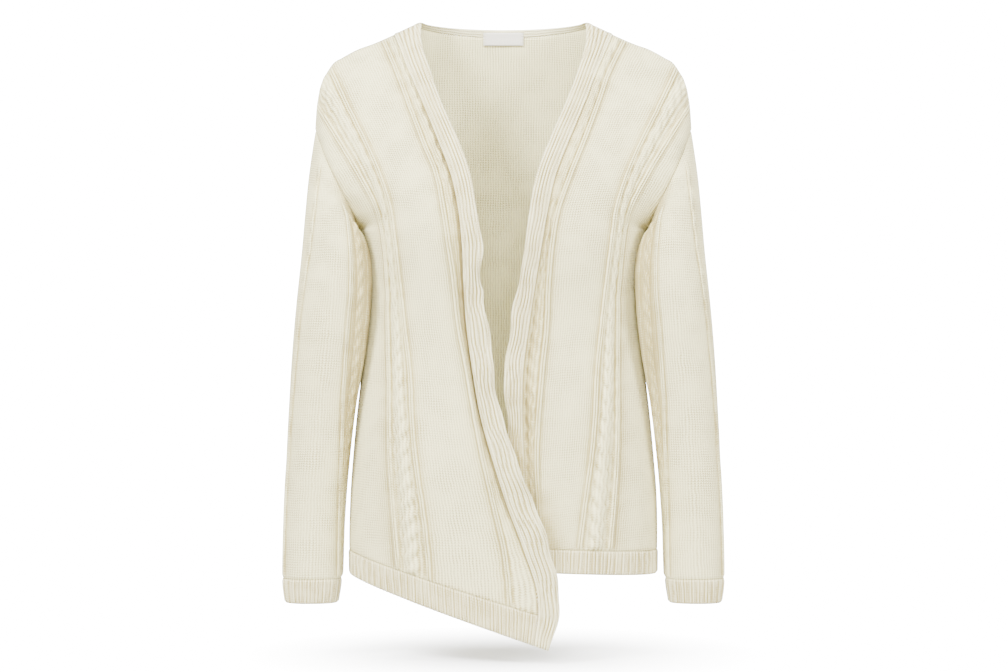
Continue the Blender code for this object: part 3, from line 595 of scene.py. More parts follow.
def back_row(w):
    """Dense points of half a row of the back, from the side to the middle, x outward."""
    x_start, y_start, drop_start = outer_edge(w)
    full = SHOULDER_DEPTH["back"][-1]
    middle_drops = [BACK_NECK_DROP, BACK_UNDERARM_DROP, HEM_SEAM_SIDE, HEM_SIDE]
    drop_end = float(np.interp(w, [0, 1, 2, 3], middle_drops))
    depth = middle_depth(w, drop_end, "back")
    x, y = row_fan(depth, x_start, y_start, 0.0, flare(drop_start))
    level = levelled(w)
    neck_depth = back_neck(x)[0]
    rest = max(0.0, 1 - (depth / full) ** 2) if w < 1 else 0.0
    y = np.sqrt(y ** 2 + rest * neck_depth ** 2)
    q = (x_start - x) / x_start
    top_x = SHOULDER["x"][-1] * (1 - q)
    top = np.where(top_x > NECK_REACH, shoulder_drop(np.maximum(top_x, NECK_REACH)), back_neck(top_x)[1])
    low = SHOULDER["drop"][-1]
    share = (1 - level) * (low - top) / (low - BACK_NECK_DROP) + level * q
    drop = drop_start + (drop_end - drop_start) * share
    return np.stack([x, y, drop], axis=1)


def back_grid(rows):
    """Fine grid of the whole back, from the wearer's left side to the right."""
    grid = []
    for w in rows:
        points = back_row(w)
        length = along(points)
        corner = float(np.interp(-NECK_REACH * points[0, 0] / SHOULDER["x"][-1], -points[:, 0], length))
        stations = np.concatenate([
            np.linspace(0.5, corner, BACK_OUTER_COLUMNS + 1)[:-1],
            np.linspace(corner, length[-1], BACK_NECK_COLUMNS + 1),
        ])
        half = at_lengths(points, length, stations)
        mirrored = half[-2::-1] * np.array([-1.0, 1.0, 1.0])
        grid.append(np.concatenate([half, mirrored]))
    grid = eased_chest(np.array(grid), np.asarray(rows))
    grid = eased_chest(grid[:, ::-1], np.asarray(rows))[:, ::-1]
    grid[:, :, 2] *= -1
    return grid


# Knitted relief

def rib_pair(offset, rise):
    """Two fine knitted ribs side by side, with a narrow groove between and beside them."""
    ridges = sum(np.clip(1 - ((offset - middle) / 1.25) ** 2, 0, None) for middle in (-1.3, 1.3))
    groove = 0.35 * bell(np.abs(offset) - 3.4, 0.9)
    return rise * (ridges - groove)


def cable_twist(across, down, half, pitch, rise):
    """A cable of two strands that cross over each other once in every pitch."""
    lean = np.pi * down / pitch
    height = np.zeros(np.broadcast(across, down, half).shape)
    for turn in (0.0, np.pi):
        middle = 0.40 * half * np.cos(lean + turn)
        strand = np.sqrt(np.clip(1 - ((across - middle) / (0.60 * half)) ** 2, 0, None))
        height = np.maximum(height, rise * strand * (0.60 + 0.40 * np.sin(lean + turn)))
    groove = 0.25 * rise * bell(np.abs(across) - 1.12 * half, 1.1)
    return height - groove


def ribs(across, pitch, rise):
    """Rounded ribs at an even pitch."""
    return rise * (0.5 - 0.5 * np.cos(2 * np.pi * across / pitch)) ** 0.8


def folds(x, drop, lines):
    """Soft hollows and swells along short lines."""
    total = np.zeros(np.broadcast(x, drop).shape)
    for ax, ay, bx, by, width, depth in zip(*lines.values()):
        way = np.array([bx - ax, by - ay])
        span = max(float(np.hypot(*way)), 1e-6)
        way = way / span
        place = (x - ax) * way[0] + (drop - ay) * way[1]
        off = (x - ax) * way[1] - (drop - ay) * way[0]
        past = np.maximum(np.maximum(-place, place - span), 0)
        total -= depth * np.exp(-(off / width) ** 2 - (past / (1.6 * width)) ** 2)
    return total


def slack(x, drop, seed):
    """Faint unevenness of hanging knit, a few waves of different lengths."""
    waves = ((0.031, 0.012, 0.0), (-0.017, 0.027, 1.3), (0.052, -0.019, 2.1), (0.011, 0.045, 4.0))
    return sum(np.sin(a * x + b * drop + c + seed) for a, b, c in waves) / len(waves)


# Meshes

def placed_grid(bm, points):
    """Add a grid of faces and set its vertices on the points. Each vertex keeps its place number."""
    rows, columns = points.shape[:2]
    place = bm.verts.layers.int.new("place")
    made = bmesh.ops.create_grid(bm, x_segments=columns - 1, y_segments=rows - 1, size=0.5)
    for vert in made["verts"]:
        column = round((vert.co.x + 0.5) * (columns - 1))
        row = round((0.5 - vert.co.y) * (rows - 1))
        vert[place] = row * columns + column
        vert.co = points[row, column] * MM
    return place


def hollows(relief):
    """How deep each point of a relief lies below what is beside it, from 0 to 1."""
    mean = relief.copy()
    for _ in range(14):
        mean[:, 1:-1] = (mean[:, :-2] + 2 * mean[:, 1:-1] + mean[:, 2:]) / 4
    return np.clip((mean - relief) / 0.8, 0, 1)


def cloth(name, outer, inner, uv, hollow, closed=False):
    """Make a knitted wall: a grid on its outer points, extruded to its inner ones, with its own UV map and a
    painted shade value on its points.
    """
    bm = bmesh.new()
    bm.verts.layers.float.new("hollow")
    rows, columns = outer.shape[:2]
    place = placed_grid(bm, outer)
    shade = bm.verts.layers.float["hollow"]
    flat_hollow = np.broadcast_to(hollow, (rows, columns)).reshape(-1)
    for vert in bm.verts:
        vert[shade] = float(flat_hollow[vert[place]])
    layer = bm.loops.layers.uv.new("knit")
    flat_uv = uv.reshape(-1, 2) * MM
    for face in bm.faces:
        for loop in face.loops:
            loop[layer].uv = flat_uv[loop.vert[place]]
    if closed:
        for vert in bm.verts:
            if vert[place] % columns == columns - 1:
                vert[place] -= columns - 1
                vert.co = outer.reshape(-1, 3)[vert[place]] * MM
        bmesh.ops.remove_doubles(bm, verts=bm.verts, dist=1e-7)
    shell = bmesh.ops.extrude_face_region(bm, geom=list(bm.faces), use_keep_orig=True)
    flat_inner = inner.reshape(-1, 3) * MM
    for item in shell["geom"]:
        if isinstance(item, bmesh.types.BMVert):
            item.co = flat_inner[item[place]]
    bmesh.ops.recalc_face_normals(bm, faces=bm.faces)
    return finished(name, bm)


def finished(name, bm):
    """Put a bmesh into a smooth object at the origin."""
    mesh = bpy.data.meshes.new(name)
    bm.to_mesh(mesh)
    bm.free()
    mesh.shade_smooth()
    obj = bpy.data.objects.new(name, mesh)
    bpy.context.scene.collection.objects.link(obj)
    return obj


def settle(obj, node, finish):
    """Put a knitted piece in place of its node, with its finish."""
    obj.data.materials.append(finish)
    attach(obj, "root")
    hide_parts(node)


# Materials

def linear(hex_colour):
    """Turn an sRGB hex colour into linear values."""
    values = [int(hex_colour[k:k + 2], 16) / 255 for k in (1, 3, 5)]
    return tuple(v / 12.92 if v <= 0.04045 else ((v + 0.055) / 1.055) ** 2.4 for v in values) + (1.0,)


def add(tree, kind, settings=None, links=None):
    """Add a node, set its properties and unlinked inputs, and link the rest from other sockets."""
    node = tree.nodes.new(kind)
    for name, value in (settings or {}).items():
        if isinstance(name, str) and hasattr(node, name):
            setattr(node, name, value)
        else:
            node.inputs[name].default_value = value
    for name, socket in (links or {}).items():
        tree.links.new(socket, node.inputs[name])
    return node


def maths(tree, operation, *values):
    """Add a sum on sockets or numbers and return its result."""
    numbers = {k: v for k, v in enumerate(values) if isinstance(v, (int, float))}
    sockets = {k: v for k, v in enumerate(values) if not isinstance(v, (int, float))}
    return add(tree, "ShaderNodeMath", {"operation": operation, **numbers}, sockets).outputs[0]


def new_material(name):
    """A new node material and its shader."""
    mat = bpy.data.materials.new(name)
    mat.use_nodes = True
    return mat, mat.node_tree, mat.node_tree.nodes["Principled BSDF"]


def noise(tree, places, scale, detail=2.0, roughness=0.5):
    """Unevenness in the object's own space, about 0.5 on average."""
    settings = {"Scale": scale, "Detail": detail, "Roughness": roughness}
    return add(tree, "ShaderNodeTexNoise", settings, {"Vector": places.outputs["Object"]}).outputs[0]


def coloured(tree, shader, tone, shade, full):
    """Colour a finish from its shade to its full colour by a tone of 0 to 1."""
    ramp = add(tree, "ShaderNodeValToRGB", {}, {"Fac": tone})
    ramp.color_ramp.elements[0].color = shade
    ramp.color_ramp.elements[1].color = full
    tree.links.new(ramp.outputs[0], shader.inputs["Base Color"])


def bumped(tree, shader, height, strength, depth):
    """Raise a finish by a height of 0 to 1, so many millimetres deep."""
    bump = add(tree, "ShaderNodeBump", {"Strength": strength, "Distance": depth * MM}, {"Height": height})
    tree.links.new(bump.outputs[0], shader.inputs["Normal"])


def knit_stitches(tree, places, wale, course):
    """Height of knit stitches over the piece's own UV map, 0 between the yarns and 1 on them."""
    uv = add(tree, "ShaderNodeUVMap", {"uv_map": "knit"})
    wander = noise(tree, places, 70.0, 3.0)
    parts = add(tree, "ShaderNodeSeparateXYZ", {}, {"Vector": uv.outputs[0]})
    drift = maths(tree, "MULTIPLY", maths(tree, "SUBTRACT", wander, 0.5), 1.1)
    columns = maths(tree, "ADD", maths(tree, "DIVIDE", parts.outputs[0], wale * MM), drift)
    side = maths(tree, "ABSOLUTE", maths(tree, "SUBTRACT", maths(tree, "FRACT", columns), 0.5))
    ridge = maths(tree, "COSINE", maths(tree, "MULTIPLY", side, 2 * math.pi))
    rows = maths(tree, "DIVIDE", parts.outputs[1], course * MM)
    rows = maths(tree, "ADD", rows, maths(tree, "ADD", maths(tree, "MULTIPLY", side, 1.2), drift))
    beat = maths(tree, "COSINE", maths(tree, "MULTIPLY", rows, 2 * math.pi))
    return maths(tree, "MULTIPLY_ADD", ridge, 0.30, maths(tree, "MULTIPLY_ADD", beat, 0.20, 0.5))


def knit_material(name, yarn, shade, wale, course, depth):
    """Combed cotton, machine knitted: matt, soft at grazing angles, with painted shade, darker and warmer,
    between stitches and in hollows.
    """
    mat, tree, shader = new_material(name)
    places = add(tree, "ShaderNodeTexCoord")
    height = knit_stitches(tree, places, wale, course)
    # The yarn's dye varies a little over a hand's breadth, and single fibres lighten or darken a spot
    dapple = noise(tree, places, 11.0, 4.0, 0.6)
    fleck = noise(tree, places, 420.0)
    # Stitches stand out in some patches and blur in others, as the cloth is stretched more or less
    spread_out = {"From Min": 0.36, "From Max": 0.64, "To Min": 0.6, "To Max": 1.35}
    patch = noise(tree, places, 42.0, 3.0)
    clarity = add(tree, "ShaderNodeMapRange", spread_out, {"Value": patch}).outputs[0]
    hollow = add(tree, "ShaderNodeAttribute", {"attribute_name": "hollow"}).outputs["Fac"]
    depths = maths(tree, "MULTIPLY", maths(tree, "SUBTRACT", height, 0.5), clarity)
    # Painted shade: the tone falls to the shade colour between stitches, and by the painted shade value in
    # hollows
    shading = maths(tree, "MULTIPLY_ADD", clarity, 0.6 * HOLLOW_SHADE, 0.4 * HOLLOW_SHADE)
    tone = maths(tree, "MULTIPLY_ADD", depths, STITCH_CONTRAST, 0.55)
    tone = maths(tree, "ADD", tone, maths(tree, "MULTIPLY", dapple, 0.05))
    tone = maths(tree, "ADD", tone, maths(tree, "MULTIPLY", fleck, 0.30))
    tone = maths(tree, "SUBTRACT", tone, maths(tree, "MULTIPLY", hollow, shading))
    coloured(tree, shader, tone, linear(shade), linear(yarn))
    bumped(tree, shader, maths(tree, "MULTIPLY_ADD", fleck, 0.3, depths), 1.0, depth)
    tree.links.new(maths(tree, "MULTIPLY_ADD", fleck, 0.12, 0.84), shader.inputs["Roughness"])
    shader.inputs["IOR"].default_value = 1.45
    shader.inputs["Specular IOR Level"].default_value = 0.25
    shader.inputs["Sheen Weight"].default_value = 0.12
    shader.inputs["Sheen Roughness"].default_value = 0.6
    return mat


def label_material(name, thread, shade):
    """Woven polyester taffeta: smooth fine threads crossing at half a millimetre, drawn coarse to show."""
    mat, tree, shader = new_material(name)
    uv = add(tree, "ShaderNodeUVMap", {"uv_map": "knit"})
    parts = add(tree, "ShaderNodeSeparateXYZ", {}, {"Vector": uv.outputs[0]})
    warp, weft = [maths(tree, "SINE", maths(tree, "MULTIPLY", parts.outputs[k], 2 * math.pi / (0.5 * MM)))
                  for k in (0, 1)]
    weave = maths(tree, "MULTIPLY_ADD", maths(tree, "MULTIPLY", warp, weft), 0.5, 0.5)
    coloured(tree, shader, weave, linear(shade), linear(thread))
    bumped(tree, shader, weave, 0.5, 0.1)
    shader.inputs["Roughness"].default_value = 0.55
    shader.inputs["Sheen Weight"].default_value = 0.1
    return mat


def thread_material(name, colour):
    """Spun polyester sewing thread: slightly brighter and smoother than the yarn, with a fine ply."""
    mat, tree, shader = new_material(name)
    places = add(tree, "ShaderNodeTexCoord")
    ply = add(tree, "ShaderNodeTexWave", {"Scale": 900.0, "Distortion": 1.0},
              {"Vector": places.outputs["Object"]})
    full = linear(colour)
    coloured(tree, shader, ply.outputs[1], tuple(0.8 * v for v in full[:3]) + (1.0,), full)
    shader.inputs["Roughness"].default_value = 0.6
    return mat


def floor_material(name, colour):
    """Matt painted studio floor, even and pale, fading into the backdrop's light at its rim."""
    mat, tree, shader = new_material(name)
    places = add(tree, "ShaderNodeTexCoord")
    oval = add(tree, "ShaderNodeMapping", {"Scale": (1.0, 1.0, 0.0)}, {"Vector": places.outputs["Object"]})
    far = add(tree, "ShaderNodeVectorMath", {"operation": "LENGTH"}, {"Vector": oval.outputs[0]})
    clear = add(tree, "ShaderNodeMapRange", {"From Min": 0.02, "From Max": 0.42},
                {"Value": far.outputs["Value"]})
    clear.interpolation_type = "SMOOTHSTEP"
    rough = maths(tree, "MULTIPLY_ADD", noise(tree, places, 40.0), 0.05, 0.9)
    tree.links.new(rough, shader.inputs["Roughness"])
    shader.inputs["Base Color"].default_value = linear(colour)
    shader.inputs["Specular IOR Level"].default_value = 0.0
    see_through = add(tree, "ShaderNodeBsdfTransparent")
    mixed = add(tree, "ShaderNodeMixShader", {}, {
        0: clear.outputs[0], 1: shader.outputs[0], 2: see_through.outputs[0]})
    tree.links.new(mixed.outputs[0], tree.nodes["Material Output"].inputs["Surface"])
    return mat


def knits():
    """The finishes of the panels, the ribbed trims and the sewing, made once."""
    names = ("cotton_stockinette_knit", "cotton_rib_knit", "polyester_seam_thread")
    if names[0] not in bpy.data.materials:
        colours = bpy.context.scene.cardigan_colours
        sizes = bpy.context.scene.cardigan_knit
        stitch = sizes.wale * 1000, sizes.course * 1000
        knit_material(names[0], colours.panel_yarn, colours.panel_shade, *stitch, 0.9)
        knit_material(names[1], colours.trim_yarn, colours.trim_shade, *stitch, 0.7)
        thread_material(names[2], colours.thread)
    return [bpy.data.materials[name] for name in names]


# Whole fronts, sleeves and back, shared by the pieces that are cut from them

def body_rows(armhole_rows, rows_below):
    """Rows of a front or the back, with a gap at the hem's seam, and how many belong to the panel."""
    upper = np.linspace(0, 1, armhole_rows + 1)
    body = np.linspace(1, 2, rows_below + 1)[1:]
    body[-1] = PANEL_END
    hem = np.linspace(HEM_START, 3, HEM_ROWS)
    return np.concatenate([upper, body, hem]), len(upper) + len(body)


def band_waves(side, share, down):
    """How far the band sways out of its plain surface towards its free edge."""
    soft = share ** 1.5
    if side == "right":
        sway = 2.8 * np.sin(down / 19.0 + 0.6) + 2.2 * np.sin(down / 9.5 + 2.0 + 2.0 * share)
        corner = 5.0 * share * bell(down - 668, 16)
        corner = corner - 4.0 * share * bell(down - 640, 14)
        return soft * sway * smooth((down - 200) / 120) + corner
    sway = 2.2 * np.sin(down / 22.0 + 1.9) + 1.4 * np.sin(down / 11.0 + 2.0 * share)
    return soft * sway * smooth((down - 250) / 110)


def edge_sway(side, drop):
    """How far the band's free edge wanders sideways from its plain line."""
    if side == "right":
        sway = 0.9 * np.sin(drop / 17.0 + 2.2) + 0.6 * np.sin(drop / 7.3)
        notch = 2.0 * bell(drop - 313, 7)
        return (sway - notch) * smooth((drop - 200) / 80)
    return (0.9 * np.sin(drop / 14.0 + 0.4) + 0.7 * np.sin(drop / 8.0 + 1.0)) * smooth((drop - 220) / 100)


def crease_profile(side, at):
    """Shape of the crease beside the band's seam, -1 at its deepest and 0 off it."""
    s, seam, border = at["s"], at["seam"], at["border"]
    middle = seam - CREASE_REACH[side] * np.clip((seam - border) / 9, 0.3, 1)
    profile = np.zeros(s.shape)
    for k in range(len(s)):
        knots = [border[k, 0] - 2, middle[k, 0], seam[k, 0] - 0.4, seam[k, 0] + 2.6]
        profile[k] = eased(s[k], knots, CREASE_SHAPE[side])
    return profile


def front_relief(side, at, down, drop, share, panel_rows):
    """Ribs and cables raised on a whole front and its band, and how much of that is painted with shade."""
    sizes = bpy.context.scene.cardigan_knit
    s, seam, border = at["s"], at["seam"], at["border"]
    rise, pitch, height = sizes.rib_rise * 1000, sizes.cable_pitch * 1000, sizes.cable_rise * 1000

    def shown(line):
        """1 where a line runs inside the panel, fading out towards the armhole."""
        return smooth((at[line] - 2) / 16)

    above_hem = smooth((down[panel_rows - 1] - down) / 5)
    inside = (s <= seam) * smooth((down - 1) / 14) * above_hem * smooth((s - 1) / 9)
    relief = rib_pair(s - at["rib"], rise) * shown("rib")
    relief += rib_pair(s - at["inner"], rise) * shown("inner") + rib_pair(s - border, rise)
    shaded = relief * inside
    cable_down = np.array([np.interp(at["cable"][k, 0], s[k], down[k]) for k in range(len(s))])[:, None]
    growing = 0.75 + 0.35 * smooth((drop - 250) / 200)
    relief += shown("cable") * cable_twist(s - at["cable"], cable_down, at["half"], pitch, height * growing)
    border_half = np.clip(0.34 * (seam - border), 2.5, 8.5)
    border_middle = border + 0.56 * (seam - border)
    shallow = 0.8 if side == "left" else 0.8 - 0.6 * smooth((drop - 150) / 90)
    relief += cable_twist(s - border_middle, cable_down, border_half, pitch, height * shallow)
    relief *= inside

    first, last = BAND_RIBS
    wander = (0.30 * np.sin(drop / 17.0 + 1.0) + 0.22 * np.sin(drop / 7.5 + 3.0)) * smooth((drop - 170) / 130)
    ribbed = (share - first) / (last - first) * BAND_RIB_COUNT + wander * np.sin(np.pi * np.clip(share, 0, 1))
    on_band = (s > seam) & (share > first) & (share < last)
    on_band = on_band * smooth(down / 8 + 0.15)
    relief = np.where(on_band > 0, on_band * (ribs(ribbed, 1.0, rise * 1.3) - 0.3 * rise), relief)
    shaded = np.where(on_band > 0, 1.2 * relief, shaded + 0.25 * (relief - shaded))
    relief += np.where(s > seam, 0.5 * np.sin(np.pi * np.clip(share / first, 0, 1)), 0)
    return relief, shaded


def front_uv(at, down):
    """Places of a front's points in the flat knitting, where its ribs and cables run straight down."""
    flat = [KNIT_WIDTHS["rib"] + 500, *KNIT_WIDTHS.values(), 0, -500]
    across = []
    for k, stations in enumerate(at["s"]):
        lines = [at[line][k, 0] for line in (*KNIT_WIDTHS, "seam")]
        across.append(np.interp(stations, [lines[0] - 500, *lines, lines[-1] + 500], flat))
    return np.stack([np.array(across), down - down[ARMHOLE_ROWS]], axis=2)


@cache
def whole_front(side):
    """Points, normals, relief, UV places and painted shade of a whole front with its band and hem."""
    sizes = bpy.context.scene.cardigan_knit
    rows, panel_rows = body_rows(ARMHOLE_ROWS, BODY_ROWS)
    grid, at = front_grid(side, rows, sizes.cable_share)
    s, seam = at["s"], at["seam"]
    down = down_length(grid)
    drop, x = -grid[:, :, 2], grid[:, :, 0] * SIDE[side]
    upper = rows <= 1
    shares, ways = armhole_ways(side, "front")

    def seam_normals():
        """Normals that run into the neighbours' along the armhole, shoulder and side seams."""
        normals = facing_out(grid_normals(grid), grid)
        near_side = smooth(1 - s / BLEND_REACH)
        targets = np.where(upper[:, None, None], read_ways(shares, ways, np.minimum(rows, 1))[:, None],
                           flat_y(normals))
        normals = leaned(normals, targets, near_side)
        return leaned(normals, flat_y(normals), smooth(1 - down / BLEND_REACH))

    normals = seam_normals()
    share = np.clip((s - seam) / (at["end"] - seam), 0, 1)
    crease = crease_profile(side, at) * curve(drop, TROUGH["drop"], TROUGH[side])
    free = smooth(s / 14) * smooth(down / 14)
    shift = crease + free * folds(x, drop, FOLDS[side]) * sizes.fold_depth
    shift += free * 0.8 * slack(x, drop, 0.0 if side == "right" else 2.0) * sizes.fold_depth
    shift += band_waves(side, share, drop)
    grid = grid + shift[:, :, None] * normals
    grid[:, :, 0] += SIDE[side] * share ** 1.5 * edge_sway(side, drop)
    on_seam = np.abs(grid[:, :, 1]) < SEAM_GAP / 2
    grid[:, :, 1] = np.where(on_seam, -SEAM_GAP / 2, grid[:, :, 1])
    normals = seam_normals()
    beside = slice(PANEL_COLUMNS - 1, PANEL_COLUMNS + 1)
    normals[:, beside] = unit(normals[:, beside].sum(axis=1, keepdims=True))

    relief, shaded = front_relief(side, at, down, drop, share, panel_rows)
    # Painted shade, darker between ribs and cables, in the crease, and at the seams of the band, armhole and
    # hem, where shade falls
    painted_shades = [
        hollows(shaded),
        np.clip(-crease / 8, 0, 1.0),
        bell(s - seam + 0.8, 1.6) * smooth((drop - 40) / 80),
        0.45 * bell(s, 4.0) * upper[:, None],
        0.30 * bell(down[panel_rows - 1] - down, 4.0) * (s <= seam),
    ]
    # The right front lies over the left one, and a painted shadow darkens the left front beside its edge
    if side == "left":
        past_right_edge = x + curve(drop, LINES["drop"], LINES["edge_right"])
        painted_shades.append(0.8 * bell(np.maximum(past_right_edge, 0), 17) * smooth((drop - 380) / 120))
    return {"base": grid, "normals": normals, "relief": relief, "uv": front_uv(at, down),
            "panel_rows": panel_rows, "hollow": np.maximum.reduce(painted_shades)}


def walls(base, normals, relief, dips):
    """Outer and inner points of a wall: the inner side follows the relief a little."""
    outer = base + (relief - dips)[:, :, None] * normals
    inner = base - WALL * normals + (0.35 * relief)[:, :, None] * normals
    return outer, inner


def edge_dips(shape, first_row=0.0, last_row=0.0, first=0.0, last=0.0, beside_last=0.0):
    """How far a wall's outer points sink at its four edges, so that the edges look rolled."""
    dips = np.zeros(shape)
    dips[0] += first_row
    dips[-1] += last_row
    dips[:, 0] += first
    dips[:, -1] += last
    dips[:, -2] += beside_last
    return dips


def wrapped(values):
    """A ring's values with its first column again at the end."""
    return np.concatenate([values, values[:, :1]], axis=1)


def knit_piece(name, node, slot, finish, whole, rows, columns, closed=False, **edges):
    """Knit the piece that is cut from some rows and columns of a whole grid."""
    base, normals, relief, hollow, uv = [whole[key][rows, columns] for key in
                                         ("base", "normals", "relief", "hollow", "uv")]
    outer, inner = walls(base, normals, relief, edge_dips(relief.shape, **edges))
    if closed:
        base, outer, inner, hollow = [wrapped(values) for values in (base, outer, inner, hollow)]
    obj = cloth(name, outer, inner, uv, hollow, closed=closed)
    settle(obj, node, finish)


def read_columns(values, places):
    """Read a grid's values at column places between its own."""
    low = np.clip(np.floor(places).astype(int), 0, values.shape[1] - 2)
    share = places - low
    if values.ndim == 3:
        share = share[None, :, None]
    return values[:, low] * (1 - share) + values[:, low + 1] * share


def ribbed_trim(name, base, normals, finish, node, closed=False):
    """Make a hem or cuff whose ribs run down it."""
    sizes = bpy.context.scene.cardigan_knit
    reach = along(base[0])
    width = reach[-1]
    count = max(2, round(width / RIB_PITCH))
    across = np.linspace(0, width, TRIM_RIB_COLUMNS * count + 1)
    places = np.interp(across, reach, np.arange(len(reach)))
    points = read_columns(base, places)
    ways = unit(read_columns(normals, places))
    down = down_length(points)
    ends = smooth(down / 2.0 + 0.25) * smooth((down.max() - down) / 2.0 + 0.2)
    rise = sizes.rib_rise * 1000
    relief = (ribs(across / width * count, 1.0, rise) - 0.5 * rise)[None] * ends
    side = 0.0 if closed else 0.7
    outer, inner = walls(points, ways, relief, edge_dips(relief.shape, 0.2, 1.0, side, side))
    uv = np.stack([np.broadcast_to(across, relief.shape), down], axis=2)
    # Painted shade: the whole hem or cuff a little darker, and darker still in the grooves between its ribs
    obj = cloth(name, outer, inner, uv, 0.28 + 0.5 * hollows(relief), closed=closed)
    settle(obj, node, finish)


# The real knit has a fine gauge of about 2 mm to a stitch, too fine to show in the render, so its stitches
# are drawn about half as large again
class CARDIGAN_PG_knit(bpy.types.PropertyGroup):
    """Sizes of the knitting."""
    wale: bpy.props.FloatProperty(name="Wale", description="Width of one column of stitches",
                                  default=0.0031, unit="LENGTH")
    course: bpy.props.FloatProperty(name="Course", description="Height of one row of stitches",
                                    default=0.0028, unit="LENGTH")
    rib_rise: bpy.props.FloatProperty(name="Rib rise", description="Height of the ribs",
                                      default=0.0019, unit="LENGTH")
    cable_rise: bpy.props.FloatProperty(name="Cable rise", description="Height of the cables",
                                        default=0.0044, unit="LENGTH")
    cable_pitch: bpy.props.FloatProperty(name="Cable pitch", description="Length of one crossing of a cable",
                                         default=0.019, unit="LENGTH")
    cable_share: bpy.props.FloatProperty(name="Cable share", description="Width of a cable between its ribs",
                                         default=0.50, min=0.2, max=0.8)
    fold_depth: bpy.props.FloatProperty(name="Fold depth", description="Strength of the soft folds",
                                        default=1.0, min=0.0, max=2.0)


class CARDIGAN_PG_colours(bpy.types.PropertyGroup):
    """Colours of the yarns and threads, as sRGB hex."""
    panel_yarn: bpy.props.StringProperty(name="Panel yarn", description="Yarn of the panels and sleeves",
                                         default="#F5F1C2")
    # The shade colours are painted shade, laid between stitches and in hollows
    panel_shade: bpy.props.StringProperty(name="Panel shade", default="#B2A26C",
                                          description="Colour between the panels' stitches")
    trim_yarn: bpy.props.StringProperty(name="Trim yarn", description="Yarn of the ribbed trims",
                                        default="#FAF7D2")
    trim_shade: bpy.props.StringProperty(name="Trim shade", description="Colour between the trims' stitches",
                                         default="#B2A26C")
    label: bpy.props.StringProperty(name="Label", description="Thread of the woven label", default="#EFEDE8")
    label_shade: bpy.props.StringProperty(name="Label shade", default="#CFCBC2",
                                          description="Colour between the label's threads")
    thread: bpy.props.StringProperty(name="Thread", description="Sewing thread", default="#DDD6B6")
    floor: bpy.props.StringProperty(name="Floor", description="Studio floor", default="#F0F2F8")
    surround: bpy.props.StringProperty(name="Surround", description="Light bounced from all round the studio",
                                       default="#FFF7E4")


class CARDIGAN_PG_studio(bpy.types.PropertyGroup):
    """Light and floor of the studio."""
    surround: bpy.props.FloatProperty(name="Surround", description="Strength of the light from all round",
                                      default=1.3, min=0.0)
    backdrop: bpy.props.FloatProperty(name="Backdrop", description="Brightness of the plain white backdrop",
                                      default=20.0, min=0.0)
    key: bpy.props.FloatProperty(name="Key", description="Power of the key light, in watts",
                                 default=235.0, min=0.0)
    floor_drop: bpy.props.FloatProperty(name="Floor drop", description="Floor below the neck points",
                                        default=0.726, unit="LENGTH")


class CARDIGAN_OT_stage(bpy.types.Operator):
    """Set up the pale floor, the soft studio light and the camera"""
    bl_idname = "cardigan.stage"
    bl_label = "Stage"

    def execute(self, context):
        studio = context.scene.cardigan_studio
        bm = bmesh.new()
        bmesh.ops.create_circle(bm, cap_ends=True, segments=96, radius=FLOOR_RADIUS)
        bmesh.ops.translate(bm, verts=bm.verts, vec=(0, 0, -studio.floor_drop))
        floor = finished("studio_floor", bm)
        floor.data.materials.append(floor_material("matt_studio_floor", context.scene.cardigan_colours.floor))

        world = bpy.data.worlds.new("studio")
        context.scene.world = world
        world.use_nodes = True
        tree = world.node_tree
        surround = tree.nodes["Background"]
        surround.inputs["Color"].default_value = linear(context.scene.cardigan_colours.surround)
        surround.inputs["Strength"].default_value = studio.surround
        white = add(tree, "ShaderNodeBackground",
                    {"Color": (1.0, 1.0, 1.0, 1.0), "Strength": studio.backdrop})
        rays = add(tree, "ShaderNodeLightPath")
        mixed = add(tree, "ShaderNodeMixShader", {}, {
            0: rays.outputs["Is Camera Ray"], 1: surround.outputs[0], 2: white.outputs[0]})
        tree.links.new(mixed.outputs[0], tree.nodes["World Output"].inputs["Surface"])

        for name, (place, share, size, colour) in LIGHTS.items():
            light = bpy.data.lights.new(name, "AREA")
            light.energy = studio.key * share
            light.size = size
            light.color = colour
            lamp = bpy.data.objects.new(name, light)
            lamp.location = place
            lamp.rotation_euler = (Vector(LIGHT_AIM) - Vector(place)).to_track_quat("-Z", "Y").to_euler()
            context.scene.collection.objects.link(lamp)

        camera = bpy.data.objects.new("camera", bpy.data.cameras.new("camera"))
        camera.data.sensor_width = SENSOR_WIDTH
        camera.data.lens = CAMERA_LENS
        camera.location = CAMERA_PLACE
        camera.rotation_euler = (math.radians(90), 0, 0)
        context.scene.collection.objects.link(camera)
        context.scene.camera = camera
        return {"FINISHED"}


class CARDIGAN_OT_fronts(bpy.types.Operator):
    """Knit the two front panels"""
    bl_idname = "cardigan.fronts"
    bl_label = "Fronts"

    def execute(self, context):
        plain = knits()[0]
        for side in SIDE:
            front = whole_front(side)
            knit_piece("front_" + side + "_panel", "front_" + side, "stockinette_knit", plain, front,
                       slice(front["panel_rows"]), slice(PANEL_COLUMNS),
                       first_row=0.5, last_row=0.6, first=0.5, last=0.7)
        return {"FINISHED"}


class CARDIGAN_OT_bands(bpy.types.Operator):
    """Knit the ribbed bands down the two front edges"""
    bl_idname = "cardigan.bands"
    bl_label = "Bands"

    def execute(self, context):
        trim = knits()[1]
        for side in SIDE:
            knit_piece("band_" + side + "_rib", "band_" + side, "rib_knit", trim, whole_front(side),
                       slice(None), slice(PANEL_COLUMNS, None),
                       last_row=0.9, first=0.8, last=1.3, beside_last=0.45)
        return {"FINISHED"}


